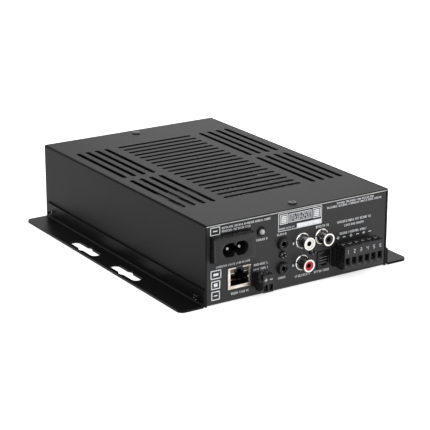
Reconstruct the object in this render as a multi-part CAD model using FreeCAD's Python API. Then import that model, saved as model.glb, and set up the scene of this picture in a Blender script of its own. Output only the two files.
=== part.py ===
import FreeCAD, Part
import math
import os
from dataclasses import dataclass

# A compact audio amplifier for fixed installation. A folded steel tray carries the connector panel,
# the boards and the far end panel. A folded cover closes it, and a slotted bracket runs along each side.
# Millimetres. +Z is up, the connector panel faces -Y, and +X is to the right of someone facing the panel.
# The origin is the centre of the case's footprint on the surface that it stands on.

# Case
case_width = 138.0
case_depth = 209.5
case_height = 52.0
sheet = 1.0
bend_radius = 0.5
cover_gap = 0.15
panel_recess = 0.4
return_depth = 14.0
lip_height = 12.0
lip_end_gap = 1.2
corner_round = 0.3

# Gaps beside and between the blocks in the panel's row: inlet, trigger, infrared, phono and speaker.
# What width the blocks leave free is shared out in these proportions.
row_gaps = (3.8, 1.79, 7.89, 3.0, 1.56, 9.86)

# Cover vents, measured from the left side and the connector end
vent_width = 3.3
side_vent_from_left = 8.8
side_vent_pitch = 7.25
side_vent_columns = 4
side_vent_starts = 37.6
side_vent_length = 66.5
side_vent_bridge = 6.7
side_vent_rows = 2
middle_vent_from_side = 39.5
middle_vent_starts = 39.2
middle_vent_pitch = 7.45
middle_vent_rows = 19

# Cover screws, one at each end
cover_screw_from_end = 8.2
cover_screw_radius = 1.5
cover_screw_head_radius = 2.9
cover_screw_head = 1.1
cover_screw_dome = 0.4
cover_screw_length = 4.0

# Brackets
bracket_sheet = 1.5
bracket_bend = 1.0
bracket_far_gap = 3.5
bracket_reach = 18.0
bracket_leg = 11.5
bracket_corner = 4.0
bracket_slot_from_edge = 6.0
bracket_slot_spacing = 54.0
bracket_slot_width = 6.8
bracket_slot_length = 34.0
bracket_slot_eye = 9.4
bracket_screw_from_end = 6.6
bracket_screw_height = 5.6
bracket_screw_radius = 1.5
bracket_screw_head_radius = 2.8
bracket_screw_head = 1.9
bracket_screw_length = 6.0

# Cross recess of a screw, as shares of the head's radius or height, and how each screw is turned
recess_long = 1.15
recess_wide = 0.32
recess_deep = 0.55
head_dome = 0.5
screw_turn = 20.0
screw_turn_step = 35.0

# Threaded collars drawn up from the sheet, and running clearances
collar_wall = 1.1
collar_height = 2.0
thread_gap = 0.05
pin_tail = 1.2
pin_tip_recess = 1.6
hole_gap = 0.2
cutout_gap = 0.3
seat_gap = 0.05
lead_gap = 0.1

# How far a cutting solid runs past what it cuts, and how close two places count as one
past = 1.0
closeness = 0.001

# Screws that fasten the jack blocks to the panel
panel_screw_radius = 1.2
panel_screw_head_radius = 2.4
panel_screw_head = 1.6
panel_screw_length = 6.0
panel_screw_turn = 45.0
screw_point_room = 1.0
jack_screw_from_white = 8.0
jack_screw_height = 21.0
infrared_screw_height = 23.0

# Boards and what holds them
board_thickness = 1.6
main_board_height = 8.1
board_side_gap = 0.8
board_front_gap = 1.0
near_post_from_edge = 26.0
main_board_length = 158.0
power_board_left_gap = 2.2
power_board_right_gap = 3.35
power_board_length = 132.0
standoff_flats = 5.5
standoff_bore = 1.5
standoff_edge = 4.0
standoff_stud = 3.0
board_screw_radius = 1.45
board_screw_head_radius = 2.7
board_screw_head = 1.8
board_screw_length = 6.0

# Mains inlet, two pole
inlet_height = 36.0
inlet_width = 28.8
inlet_tall = 16.6
inlet_proud = 5.0
inlet_behind = 14.0
inlet_floor = 3.0
inlet_corner = 1.2
inlet_lobe_radius = 4.4
inlet_lobe_spacing = 9.6
inlet_waist = 5.6
inlet_pin_radius = 1.2
inlet_pin_neck = 1.0
inlet_pin_spacing = 8.6
inlet_pin_recess = 1.7
inlet_pin_nose = 0.7
inlet_tail = 1.0

# Network jack
network_width = 16.6
network_tall = 13.8
network_deep = 21.0
network_proud = 0.6
network_sheet = 0.45
network_rim = 0.9
network_mouth_width = 11.9
network_mouth_tall = 6.9
network_floor = 1.9
network_latch_width = 6.3
network_latch_tall = 1.9
network_notch_width = 3.3
network_notch_tall = 1.5
network_cavity = 13.0
network_lamp_width = 3.0
network_lamp_tall = 2.5
network_lamp_deep = 9.0
network_contacts = 8
network_contact_pitch = 1.02
network_contact_width = 0.46
network_contact_thick = 0.25
network_contact_rise = 1.6
network_contact_reach = 8.5

# Status lamp
lamp_from_trigger = 1.5
lamp_from_top = 11.0
lamp_bezel_radius = 3.1
lamp_bezel_lip = 0.9
lamp_bezel_round = 0.45
lamp_barrel_radius = 2.7
lamp_barrel_deep = 5.5
lamp_radius = 2.1
lamp_lead = 0.5
lamp_lead_spacing = 2.54
lamp_lead_bend = 2.0
lamp_dome = 1.5
lamp_shoulder = 0.2

# Infrared jacks, one above the other in one block
infrared_low = 14.3
infrared_high = 30.4
infrared_block_width = 9.6
infrared_block_deep = 14.0
infrared_block_cap = 4.8
infrared_collar_radius = 3.5
infrared_collar_proud = 2.0
infrared_collar_round = 0.4
infrared_bore_radius = 1.8
infrared_mouth_long = 1.8
infrared_bore_relief = 0.3
infrared_tip_pocket = 2.4
infrared_back_wall = 1.0
infrared_spring = 0.3

# Phono jacks
phono_low = 15.1
phono_spacing_z = 14.4
phono_spacing_x = 14.8
phono_block_side = 7.0
phono_block_cap = 7.4
phono_block_deep = 16.0
phono_optical_gap = 0.6
phono_reach = 8.2
phono_shell_radius = 4.15
phono_shell_wall = 0.55
phono_shell_round = 0.25
phono_flange_radius = 5.0
phono_flange_proud = 0.9
phono_shell_behind = 4.0
phono_insert_recess = 0.35
phono_hole_radius = 1.65
phono_hole_long = 7.6
phono_contact_bore = 1.9
phono_contact_wall = 0.6
phono_contact_long = 7.0
phono_contact_behind = 9.0

# Optical socket
optical_from_black = 1.8
optical_width = 9.8
optical_tall = 11.4
optical_deep = 15.0
optical_proud = 0.7
optical_mouth_width = 6.8
optical_mouth_tall = 6.5
optical_mouth_rise = 1.9
optical_mouth_chamfer = 1.9
optical_front_wall = 1.2
optical_cavity = 9.0
shutter_gap = 0.25
shutter_thickness = 0.9
shutter_barrel_radius = 0.75
shutter_trunnion_radius = 0.6
shutter_trunnion_gap = 0.06
shutter_trunnion_long = 0.9
shutter_rib = 0.3
shutter_ribs = 3
shutter_rib_tall = 0.7
shutter_roof = 0.35
receiver_lens_radius = 1.1
receiver_lens_long = 0.7
receiver_thick = 4.0
receiver_drop = 2.0


@dataclass
class Terminal:
    """Sizes of one plug-in screw terminal: a header on the board and the plug that it takes."""

    name: str
    poles: int
    pitch: float
    pin_rise: float
    pin: float
    header_height: float
    header_wall: float
    header_proud: float
    header_cavity: float
    header_back: float
    tail_setback: float
    reach: float
    screw_setback: float
    floor: float
    wire_width: float
    wire_tall: float
    funnel_width: float
    funnel_tall: float
    funnel_deep: float
    cage_depth: float
    cage_side: float
    cage_plate: float
    cage_width: float
    bar: float
    bar_width: float
    nut: float
    travel: float
    ledge: float
    head: float
    head_radius: float
    head_recess: float
    head_round: float
    shank_radius: float
    driver_slot: float
    driver_depth: float
    socket: float
    fit: float = 0.1
    plug_gap: float = 0.3
    tongue_fit: float = 0.25


speaker = Terminal(
    name="speaker",
    poles=6,
    pitch=5.08,
    pin_rise=6.9,
    pin=1.0,
    header_height=12.3,
    header_wall=1.5,
    header_proud=2.5,
    header_cavity=8.6,
    header_back=2.0,
    tail_setback=1.5,
    reach=11.5,
    screw_setback=6.5,
    floor=2.5,
    wire_width=2.7,
    wire_tall=3.2,
    funnel_width=4.0,
    funnel_tall=6.4,
    funnel_deep=1.7,
    cage_depth=4.6,
    cage_side=0.6,
    cage_plate=1.1,
    cage_width=3.9,
    bar=0.8,
    bar_width=2.1,
    nut=2.4,
    travel=2.2,
    ledge=0.8,
    head=1.6,
    head_radius=1.9,
    head_recess=0.65,
    head_round=0.2,
    shank_radius=1.45,
    driver_slot=0.7,
    driver_depth=0.8,
    socket=2.2,
)
trigger = Terminal(
    name="trigger",
    poles=2,
    pitch=3.81,
    pin_rise=2.3,
    pin=0.8,
    header_height=7.2,
    header_wall=0.9,
    header_proud=1.0,
    header_cavity=7.0,
    header_back=1.6,
    tail_setback=1.2,
    reach=10.5,
    screw_setback=6.0,
    floor=0.7,
    wire_width=2.6,
    wire_tall=3.7,
    funnel_width=2.7,
    funnel_tall=4.1,
    funnel_deep=0.4,
    cage_depth=3.8,
    cage_side=0.35,
    cage_plate=0.5,
    cage_width=2.8,
    bar=0.6,
    bar_width=1.6,
    nut=1.7,
    travel=1.5,
    ledge=0.6,
    head=1.1,
    head_radius=1.35,
    head_recess=0.6,
    head_round=0.15,
    shank_radius=0.95,
    driver_slot=0.5,
    driver_depth=0.55,
    socket=1.7,
)

# Parts on the boards
chip_width = 14.0
chip_depth = 11.0
chip_thick = 1.3
chip_spacing = 26.0
sink_from_front = 81.0
sink_width = 28.0
sink_depth = 60.0
sink_base = 3.0
sink_height = 22.0
sink_fin = 1.2
sink_fins = 8
sink_foot = 4.0
coil_radius = 6.0
coil_height = 11.0
coil_waist = 1.2
coil_flange = 1.2
coil_from_right = 18.5
coil_from_front = 30.0
coil_pitch = 14.5
coil_row_pitch = 13.0
coils_across = 3
coil_rows = 2
can_radius = 8.0
can_height = 28.0
can_rim = 0.6
can_from_right = 18.0
can_from_front = 58.0
can_pitch = 19.0
cans = 4
core_width = 30.0
core_depth = 26.0
core_top_gap = 4.3
core_thick = 13.0
core_leg = 5.0
core_yoke = 3.5
core_from_left = 25.0
core_from_front = 76.0
winding_gap = 0.2
winding_round = 2.0
film_width = 18.0
film_depth = 8.5
film_height = 15.0
film_from_left = 24.0
film_from_front = 38.0
film_corner = 0.8
wireless_width = 16.0
wireless_depth = 20.0
wireless_height = 3.2
wireless_from_left = 57.0
wireless_from_board_end = 30.4
wireless_board = 0.8
wireless_lid_inset = 0.75
wireless_antenna = 4.0
link_width = 5.0
link_length = 26.0
link_strip = 2.6
link_from_edge = 4.35
link_from_front = 62.0
link_pins = 10
link_pin = 0.6
link_rows = 2

V = FreeCAD.Vector
ALONG_X = V(1, 0, 0)
ALONG_Y = V(0, 1, 0)
ALONG_Z = V(0, 0, 1)

# Planes that several pieces share
left = -case_width / 2
front = -case_depth / 2
cover_inside = case_width / 2 - sheet
tray_half = cover_inside - cover_gap
tray_top = case_height - sheet - cover_gap
panel_face = front + panel_recess
panel_back = panel_face + sheet
far_face = -panel_face
board_top = main_board_height
board_under = board_top - board_thickness
board_half = tray_half - sheet - collar_height - board_side_gap
power_top = inlet_height - inlet_tall / 2
power_under = power_top - board_thickness
bracket_length = case_depth - bracket_far_gap
lamp_height = case_height - lamp_from_top
core_height = case_height - sheet - core_top_gap - power_top


def header_width(t):
    """Width of a terminal's header."""
    return t.poles * t.pitch + 2 * t.header_wall


def row_middles():
    """X of the middle of each block in the panel's row."""
    phono_width = phono_spacing_x + 2 * phono_block_side
    widths = (inlet_width, header_width(trigger), infrared_block_width, phono_width, header_width(speaker))
    share = (case_width - sum(widths)) / sum(row_gaps)
    edge = left
    middles = []
    for gap, width in zip(row_gaps, widths):
        middles.append(edge + gap * share + width / 2)
        edge += gap * share + width
    return middles


inlet_x, trigger_x, infrared_x, phono_block_x, speaker_x = row_middles()
network_x = inlet_x + (inlet_width - network_width) / 2
lamp_x = trigger_x + lamp_from_trigger
phono_x = phono_block_x - phono_spacing_x / 2
jack_screw_x = phono_x + jack_screw_from_white
optical_x = phono_x + phono_spacing_x + optical_from_black
terminal_x = {"speaker": speaker_x, "trigger": trigger_x}


def at_left(distance):
    """X of a place measured from the case's left side."""
    return left + distance


def at_right(distance):
    """X of a place measured from the case's right side."""
    return -left - distance


def block(x, y, z):
    """A box between pairs of limits."""
    return Part.makeBox(x[1] - x[0], y[1] - y[0], z[1] - z[0], V(x[0], y[0], z[0]))


def around(middle, size):
    """Limits of a size centred on a place."""
    return (middle - size / 2, middle + size / 2)


def rod(radius, start, end):
    """A cylinder from one point to another."""
    way = end - start
    return Part.makeCylinder(radius, way.Length, start, way)


def tube(outer, inner, start, end):
    """A hollow cylinder from one point to another."""
    return rod(outer, start, end).cut(rod(inner, start, end))


def joined(shapes):
    """One solid made of touching or overlapping shapes."""
    first, rest = shapes[0], list(shapes[1:])
    return first.fuse(rest).removeSplitter() if rest else first


def rounded(shape, radius, pick):
    """The shape with the picked edges rounded."""
    return shape.makeFillet(radius, [edge for edge in shape.Edges if pick(edge)])


def runs(edge, direction):
    """Whether an edge is straight and lies along a direction."""
    if not isinstance(edge.Curve, (Part.Line, Part.LineSegment)):
        return False
    way = edge.Vertexes[-1].Point - edge.Vertexes[0].Point
    return abs(way.normalize().dot(direction)) > 0.999


def on_line(edge, direction, *places):
    """Whether an edge lies along a direction through one of the given points."""
    if not runs(edge, direction):
        return False
    point = edge.Vertexes[0].Point
    return any((point - place).cross(direction).Length < closeness for place in places)


def obround(middle, length, width, direction, height):
    """An upright prism with round ends, its length along X or Y."""
    straight = (length - width) / 2
    side = direction.cross(ALONG_Z) * (width / 2)
    ahead = direction * straight
    tip = direction * (width / 2)
    a, b = middle - ahead + side, middle + ahead + side
    c, d = middle + ahead - side, middle - ahead - side
    edges = [
        Part.LineSegment(a, b).toShape(),
        Part.Arc(b, middle + ahead + tip, c).toShape(),
        Part.LineSegment(c, d).toShape(),
        Part.Arc(d, middle - ahead - tip, a).toShape(),
    ]
    return Part.Face(Part.Wire(edges)).extrude(ALONG_Z * height)


def prism(points, way):
    """A straight-sided solid: a closed outline swept along a vector."""
    return Part.Face(Part.makePolygon(points + points[:1])).extrude(way)


def hexagon(flats, base, height):
    """A hexagonal post."""
    corner = flats / math.sqrt(3)
    turns = [math.radians(60 * step) for step in range(6)]
    return prism([base + V(corner * math.cos(t), corner * math.sin(t), 0) for t in turns], ALONG_Z * height)


def pan_screw(seat, outward, head_radius, head, radius, length, dome=head_dome, turn=screw_turn):
    """A screw whose domed, cross-recessed head stands on a seat."""
    top = rod(head_radius, V(0, 0, 0), V(0, 0, head))
    top = rounded(top, dome, lambda e: e.BoundBox.ZMin > head - closeness)
    depth = (head * (1 - recess_deep), head + past)
    long, thin = around(0, head_radius * recess_long), around(0, head_radius * recess_wide)
    cross = block(long, thin, depth).fuse(block(thin, long, depth))
    cross.rotate(V(0, 0, 0), ALONG_Z, turn)
    screw = joined([top.cut(cross), rod(radius, V(0, 0, 0), V(0, 0, -length))])
    screw.Placement = FreeCAD.Placement(seat, FreeCAD.Rotation(ALONG_Z, outward))
    return screw


def cover_screw_places():
    """Y of the two cover screws."""
    return (front + cover_screw_from_end, -front - cover_screw_from_end)


def bracket_screw_places():
    """Y of the two screws in each bracket."""
    return (front + bracket_screw_from_end, front + bracket_length - bracket_screw_from_end)


def phono_places():
    """Name, X and Z of the three phono jacks."""
    z = phono_low + phono_spacing_z
    return (("white", phono_x, z), ("red", phono_x, phono_low), ("black", phono_x + phono_spacing_x, z))


def infrared_places():
    """Heights of the two infrared jacks."""
    return (infrared_low, infrared_high)


def panel_cutouts():
    """What is cut through the connector panel."""
    y = (panel_face - past, panel_back + past)
    near, far = V(0, y[0], 0), V(0, y[1], 0)
    cuts = [
        block(around(inlet_x, inlet_width + 2 * cutout_gap), y,
              around(inlet_height, inlet_tall + 2 * cutout_gap)),
        block(around(network_x, network_width + 2 * cutout_gap), y,
              (board_top - cutout_gap, board_top + network_tall + cutout_gap)),
        block(around(optical_x, optical_width + 2 * cutout_gap), y,
              (board_top - cutout_gap, board_top + optical_tall + cutout_gap)),
    ]
    for t in (speaker, trigger):
        cuts.append(block(around(terminal_x[t.name], header_width(t) + 2 * cutout_gap), y,
                          (board_top - cutout_gap, board_top + t.header_height + cutout_gap)))
    rounds = [(lamp_x, lamp_height, lamp_barrel_radius + hole_gap)]
    rounds += [(infrared_x, z, infrared_collar_radius + hole_gap) for z in infrared_places()]
    rounds += [(x, z, phono_flange_radius + hole_gap) for _, x, z in phono_places()]
    rounds += [(x, z, panel_screw_radius + hole_gap) for x, z in panel_screw_places()]
    for x, z, radius in rounds:
        cuts.append(rod(radius, near + V(x, 0, z), far + V(x, 0, z)))
    return cuts


def panel_screw_places():
    """X and Z of the two screws in the connector panel."""
    return ((infrared_x, infrared_screw_height), (jack_screw_x, jack_screw_height))


def base_tray():
    """Floor, both end panels and their top returns folded from one sheet, with a lip up each side."""
    x = (-tray_half, tray_half)
    shell = block(x, (panel_face, far_face), (0, tray_top))
    hollow = block((x[0] - past, x[1] + past), (panel_back, -panel_back), (sheet, tray_top - sheet))
    mouth_y = (panel_face + return_depth, far_face - return_depth)
    mouth = block((x[0] - past, x[1] + past), mouth_y, (sheet, tray_top + past))
    tray = shell.cut([hollow, mouth])
    outer = [V(0, y, z) for y in (panel_face, far_face) for z in (0, tray_top)]
    inner = [V(0, y, z) for y in (panel_back, -panel_back) for z in (sheet, tray_top - sheet)]
    tray = rounded(tray, bend_radius + sheet, lambda e: on_line(e, ALONG_X, *outer))
    tray = rounded(tray, bend_radius, lambda e: on_line(e, ALONG_X, *inner))
    pieces, holes = [tray], []
    lip_ends = (panel_back + bend_radius + lip_end_gap, -panel_back - bend_radius - lip_end_gap)
    for side in (-1, 1):
        wall = sorted((side * tray_half, side * (tray_half - sheet)))
        pieces.append(block(wall, lip_ends, (0, lip_height)))
        for y in bracket_screw_places():
            start = V(side * tray_half, y, bracket_screw_height)
            end = start - ALONG_X * side * (sheet + collar_height)
            pieces.append(rod(bracket_screw_radius + collar_wall, start, end))
            beyond = ALONG_X * side
            holes.append(rod(bracket_screw_radius + thread_gap, start + beyond, end - beyond))
    for y in cover_screw_places():
        top = V(0, y, tray_top)
        end = top - ALONG_Z * (sheet + collar_height)
        pieces.append(rod(cover_screw_radius + collar_wall, top, end))
        holes.append(rod(cover_screw_radius + thread_gap, top + ALONG_Z, end - ALONG_Z))
    for x_post, y_post in lower_post_places():
        holes.append(rod(standoff_bore, V(x_post, y_post, -past), V(x_post, y_post, sheet + past)))
    return joined(pieces).cut(holes + panel_cutouts())


def vents():
    """Prisms for every slot in the cover."""
    z = tray_top - past
    tall = case_height - z + past
    row_step = side_vent_length + side_vent_bridge
    slots = []
    for side in (-1, 1):
        for column in range(side_vent_columns):
            x = side * (left + side_vent_from_left + column * side_vent_pitch)
            for row in range(side_vent_rows):
                y = front + side_vent_starts + side_vent_length / 2 + row * row_step
                slots.append(obround(V(x, y, z), side_vent_length, vent_width, ALONG_Y, tall))
    long = case_width - 2 * middle_vent_from_side
    for row in range(middle_vent_rows):
        y = front + middle_vent_starts + vent_width / 2 + row * middle_vent_pitch
        slots.append(obround(V(0, y, z), long, vent_width, ALONG_X, tall))
    return slots


def top_cover():
    """Top and sides folded from one sheet, with the vents."""
    half = case_width / 2
    y = (front, -front)
    shell = block((-half, half), y, (0, case_height))
    hollow_y = (y[0] - past, y[1] + past)
    cover = shell.cut(block((-cover_inside, cover_inside), hollow_y, (-past, case_height - sheet)))
    outer = [V(x, 0, case_height) for x in (-half, half)]
    inner = [V(x, 0, case_height - sheet) for x in (-cover_inside, cover_inside)]
    cover = rounded(cover, bend_radius + sheet, lambda e: on_line(e, ALONG_Y, *outer))
    cover = rounded(cover, bend_radius, lambda e: on_line(e, ALONG_Y, *inner))
    holes = vents()
    for y_screw in cover_screw_places():
        ends = V(0, y_screw, tray_top - past), V(0, y_screw, case_height + past)
        holes.append(rod(cover_screw_radius + hole_gap, *ends))
    for y_screw in bracket_screw_places():
        ends = V(half + past, y_screw, bracket_screw_height), V(-half - past, y_screw, bracket_screw_height)
        holes.append(rod(bracket_screw_radius + hole_gap, *ends))
    return cover.cut(holes)


def left_bracket():
    """Angle along the left side, with two eyed slots in its flange."""
    inside = left
    outside = left - bracket_reach
    y = (front, front + bracket_length)
    leg = block((inside - bracket_sheet, inside), y, (0, bracket_leg))
    flange = block((outside, inside), y, (0, bracket_sheet))
    angle = joined([leg, flange])
    angle = rounded(angle, bracket_bend + bracket_sheet, lambda e: on_line(e, ALONG_Y, V(inside, 0, 0)))
    crook = V(inside - bracket_sheet, 0, bracket_sheet)
    angle = rounded(angle, bracket_bend, lambda e: on_line(e, ALONG_Y, crook))
    corners = [V(outside, place, 0) for place in y]
    angle = rounded(angle, bracket_corner, lambda e: on_line(e, ALONG_Z, *corners))
    holes = []
    x_slot = outside + bracket_slot_from_edge
    for end in (-1, 1):
        place = V(x_slot, sum(y) / 2 + end * bracket_slot_spacing / 2, -past)
        tall = bracket_sheet + 2 * past
        holes.append(obround(place, bracket_slot_length, bracket_slot_width, ALONG_Y, tall))
        holes.append(rod(bracket_slot_eye / 2, place, place + ALONG_Z * tall))
    for y_screw in bracket_screw_places():
        start = V(inside + past, y_screw, bracket_screw_height)
        end = start - ALONG_X * (bracket_sheet + 2 * past)
        holes.append(rod(bracket_screw_radius + hole_gap, start, end))
    return angle.cut(holes)


def case_screws():
    """Screws through the brackets, and screws in the cover's top."""
    seat = case_width / 2 + bracket_sheet
    in_brackets = [
        pan_screw(V(side * seat, y, bracket_screw_height), ALONG_X * side, bracket_screw_head_radius,
                  bracket_screw_head, bracket_screw_radius, bracket_screw_length,
                  turn=screw_turn + screw_turn_step * number)
        for side in (-1, 1) for number, y in enumerate(bracket_screw_places())
    ]
    in_cover = [
        pan_screw(V(0, y, case_height), ALONG_Z, cover_screw_head_radius, cover_screw_head,
                  cover_screw_radius, cover_screw_length, dome=cover_screw_dome)
        for y in cover_screw_places()
    ]
    in_panel = [
        pan_screw(V(x, panel_face, z), -ALONG_Y, panel_screw_head_radius, panel_screw_head,
                  panel_screw_radius, panel_screw_length, turn=panel_screw_turn)
        for x, z in panel_screw_places()
    ]
    return in_brackets, in_cover, in_panel


def mains_inlet():
    """Block with a figure-eight mouth, and its two pins."""
    x, z = inlet_x, inlet_height
    mouth_face = panel_face - inlet_proud
    back = panel_face + inlet_behind
    body = block(around(x, inlet_width), (mouth_face, back), around(z, inlet_tall))
    body = rounded(body, inlet_corner, lambda e: runs(e, ALONG_Y))
    floor = back - inlet_floor
    lobes = [rod(inlet_lobe_radius, V(x + side * inlet_lobe_spacing / 2, mouth_face - past, z),
                 V(x + side * inlet_lobe_spacing / 2, floor, z)) for side in (-1, 1)]
    waist = block(around(x, inlet_lobe_spacing), (mouth_face - past, floor), around(z, inlet_waist))
    body = body.cut(lobes + [waist])
    pins = []
    tail_behind = back + inlet_tail
    for side in (-1, 1):
        axis = V(x + side * inlet_pin_spacing / 2, 0, z)
        tip = mouth_face + inlet_pin_recess
        pin = rod(inlet_pin_radius, axis + ALONG_Y * tip, axis + ALONG_Y * floor)
        pin = rounded(pin, inlet_pin_nose, lambda e: e.BoundBox.YMax < tip + closeness)
        neck = rod(inlet_pin_neck, axis + ALONG_Y * floor, axis + ALONG_Y * tail_behind)
        ends = axis + ALONG_Y * (floor - past), axis + ALONG_Y * (back + past)
        body = body.cut(rod(inlet_pin_neck + thread_gap, *ends))
        tail = block(around(axis.x, inlet_tail), (back + seat_gap, tail_behind), (power_under - past, z))
        pins.append(joined([pin, neck, tail]))
    return body, pins


def network_jack():
    """Shielded network jack: shield, moulded insert, lamp windows and spring contacts."""
    x, z = network_x, board_top
    y = (panel_face - network_proud, panel_face - network_proud + network_deep)
    top = z + network_tall
    skin = network_sheet
    shield = block(around(x, network_width), y, (z, top))
    hollow = block(around(x, network_width - 2 * skin), (y[0] - past, y[1] - skin), (z + skin, top - skin))
    shield = shield.cut(hollow)
    face = y[0] + skin
    inner_x = around(x, network_width - 2 * skin - 2 * seat_gap)
    inner_z = (z + skin + seat_gap, top - skin - seat_gap)
    insert = block(inner_x, (face, y[1] - skin - seat_gap), inner_z)
    floor = z + network_floor
    levels = [
        (network_mouth_width, network_mouth_tall),
        (network_latch_width, network_mouth_tall + network_latch_tall),
        (network_notch_width, network_mouth_tall + network_latch_tall + network_notch_tall),
    ]
    mouth_y = (face - past, face + network_cavity)
    mouth = [block(around(x, wide), mouth_y, (floor, floor + tall)) for wide, tall in levels]
    lamps, windows = [], []
    for side in (-1, 1):
        middle = x + side * (network_width / 2 - skin - network_rim - network_lamp_width / 2)
        z_lamp = (inner_z[1] - network_rim / 2 - network_lamp_tall, inner_z[1] - network_rim / 2)
        lamps.append(block(around(middle, network_lamp_width), (face, face + network_lamp_deep), z_lamp))
        gap = 2 * seat_gap
        window_y = (face - past, face + network_lamp_deep + seat_gap)
        window_z = (z_lamp[0] - seat_gap, z_lamp[1] + seat_gap)
        windows.append(block(around(middle, network_lamp_width + gap), window_y, window_z))
    insert = insert.cut(mouth + windows)
    contacts = []
    for number in range(network_contacts):
        middle = x + (number - (network_contacts - 1) / 2) * network_contact_pitch
        x_contact = middle - network_contact_width / 2
        low = V(x_contact, face + network_cavity - seat_gap, floor + seat_gap)
        high = low + V(0, -network_contact_reach, network_contact_rise)
        thick = ALONG_Z * network_contact_thick
        outline = [low, high, high + thick, low + thick]
        contacts.append(prism(outline, ALONG_X * network_contact_width))
    return shield, insert, lamps, contacts


def status_lamp():
    """Ring in the panel, and the domed lamp that it holds on two leads."""
    x, z = lamp_x, lamp_height
    lip = panel_face - lamp_bezel_lip
    inside = panel_face + lamp_barrel_deep
    def point(y):
        return V(x, y, z)
    collar = rod(lamp_bezel_radius, point(lip), point(panel_face))
    collar = rounded(collar, lamp_bezel_round, lambda e: e.BoundBox.YMax < lip + closeness)
    bezel = joined([collar, rod(lamp_barrel_radius, point(panel_face), point(inside))])
    bezel = bezel.cut(rod(lamp_radius + seat_gap, point(lip - past), point(inside + past)))
    shoulder = lip + lamp_shoulder
    lamp = rod(lamp_radius, point(shoulder), point(inside))
    room = block(around(x, 3 * lamp_radius), (shoulder - lamp_dome, shoulder), around(z, 3 * lamp_radius))
    lamp = joined([lamp, Part.makeSphere(lamp_radius, point(shoulder)).common(room)])
    foot = inside + lamp_lead_bend
    leads = []
    for side in (-1, 1):
        middle = x + side * lamp_lead_spacing / 2
        out = block(around(middle, lamp_lead), (inside, foot), around(z, lamp_lead))
        down = block(around(middle, lamp_lead), (foot - lamp_lead, foot), (power_under - past, z))
        leads.append(joined([out, down]))
    return bezel, joined([lamp] + leads)


def lamp_lead_places():
    """X and Y of the lamp's leads where they pass the board."""
    y = panel_face + lamp_barrel_deep + lamp_lead_bend - lamp_lead / 2
    return [(lamp_x + side * lamp_lead_spacing / 2, y) for side in (-1, 1)]


def infrared_jacks():
    """Block of two small jacks, and the spring that meets each plug's tip."""
    x = infrared_x
    back = panel_back + seat_gap + infrared_block_deep
    body = block(around(x, infrared_block_width), (panel_back + seat_gap, back),
                 (board_top, infrared_high + infrared_block_cap))
    bores, springs = [], []
    for z in infrared_places():
        nose = V(x, panel_face - infrared_collar_proud, z)
        collar = rod(infrared_collar_radius, nose, V(x, panel_back + past, z))
        collar = rounded(collar, infrared_collar_round, lambda e: e.BoundBox.YMax < nose.y + closeness)
        body = body.fuse(collar)
        end = back - infrared_back_wall
        mouth_end = nose + ALONG_Y * infrared_mouth_long
        bores.append(rod(infrared_bore_radius, nose - ALONG_Y, mouth_end))
        bores.append(rod(infrared_bore_radius + infrared_bore_relief, mouth_end, V(x, end, z)))
        pocket_y = (end - 2 * infrared_tip_pocket, end)
        top = z + infrared_bore_radius + infrared_tip_pocket
        bores.append(block(around(x, infrared_tip_pocket), pocket_y, (z, top)))
        springs.append(block(around(x, infrared_tip_pocket - 2 * seat_gap),
                             (pocket_y[0] + seat_gap, pocket_y[1] - seat_gap),
                             (top - infrared_spring - seat_gap, top - seat_gap)))
    bores.append(rod(panel_screw_radius + thread_gap, V(x, panel_face, infrared_screw_height),
                     V(x, panel_face + panel_screw_length + screw_point_room, infrared_screw_height)))
    return body.removeSplitter().cut(bores), springs


def phono_jacks():
    """Moulded block, plated shells, coloured inserts and centre contacts of the phono jacks."""
    places = phono_places()
    y = (panel_back + seat_gap, panel_back + seat_gap + phono_block_deep)
    x_low, x_high = places[0][1], places[2][1]
    top = places[0][2] + phono_block_cap
    split = optical_x - optical_width / 2 - phono_optical_gap
    ledge = board_top + optical_tall + phono_optical_gap
    column = block((x_low - phono_block_side, split), y, (board_top, top))
    arm = block((split, x_high + phono_block_side), y, (ledge, top))
    body = joined([column, arm])
    inner = phono_shell_radius - phono_shell_wall
    nose = panel_face - phono_reach
    shell_end = y[0] + phono_shell_behind
    contact_start = shell_end + phono_contact_behind - phono_contact_long
    contact_radius = phono_contact_bore + phono_contact_wall
    shells, inserts, contacts, cuts = [], {}, [], []
    for name, x, z in places:
        def point(place):
            return V(x, place, z)
        barrel = rod(phono_shell_radius, point(nose), point(shell_end))
        barrel = rounded(barrel, phono_shell_round, lambda e: e.BoundBox.YMax < nose + closeness)
        flange = rod(phono_flange_radius, point(panel_face - phono_flange_proud), point(y[0] - seat_gap))
        shells.append(joined([barrel, flange]).cut(rod(inner, point(nose - past), point(shell_end + past))))
        face = nose + phono_insert_recess
        end = contact_start + phono_contact_long + seat_gap
        insert = rod(inner - seat_gap, point(face), point(end))
        plug_way = rod(phono_hole_radius, point(face - past), point(face + phono_hole_long))
        wider_way = rod(phono_contact_bore, point(face + phono_hole_long), point(contact_start))
        seat = rod(contact_radius + seat_gap, point(contact_start - seat_gap), point(end + past))
        inserts[name] = insert.cut([plug_way, wider_way, seat])
        contacts.append(tube(contact_radius, phono_contact_bore, point(contact_start), point(end - seat_gap)))
        cuts.append(rod(phono_shell_radius + seat_gap, point(y[0] - past), point(shell_end + seat_gap)))
        cuts.append(rod(inner, point(y[0]), point(end)))
    screw_end = panel_face + panel_screw_length + screw_point_room
    cuts.append(rod(panel_screw_radius + thread_gap, V(jack_screw_x, y[0] - past, jack_screw_height),
                    V(jack_screw_x, screw_end, jack_screw_height)))
    return body.cut(cuts), shells, inserts, contacts


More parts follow.
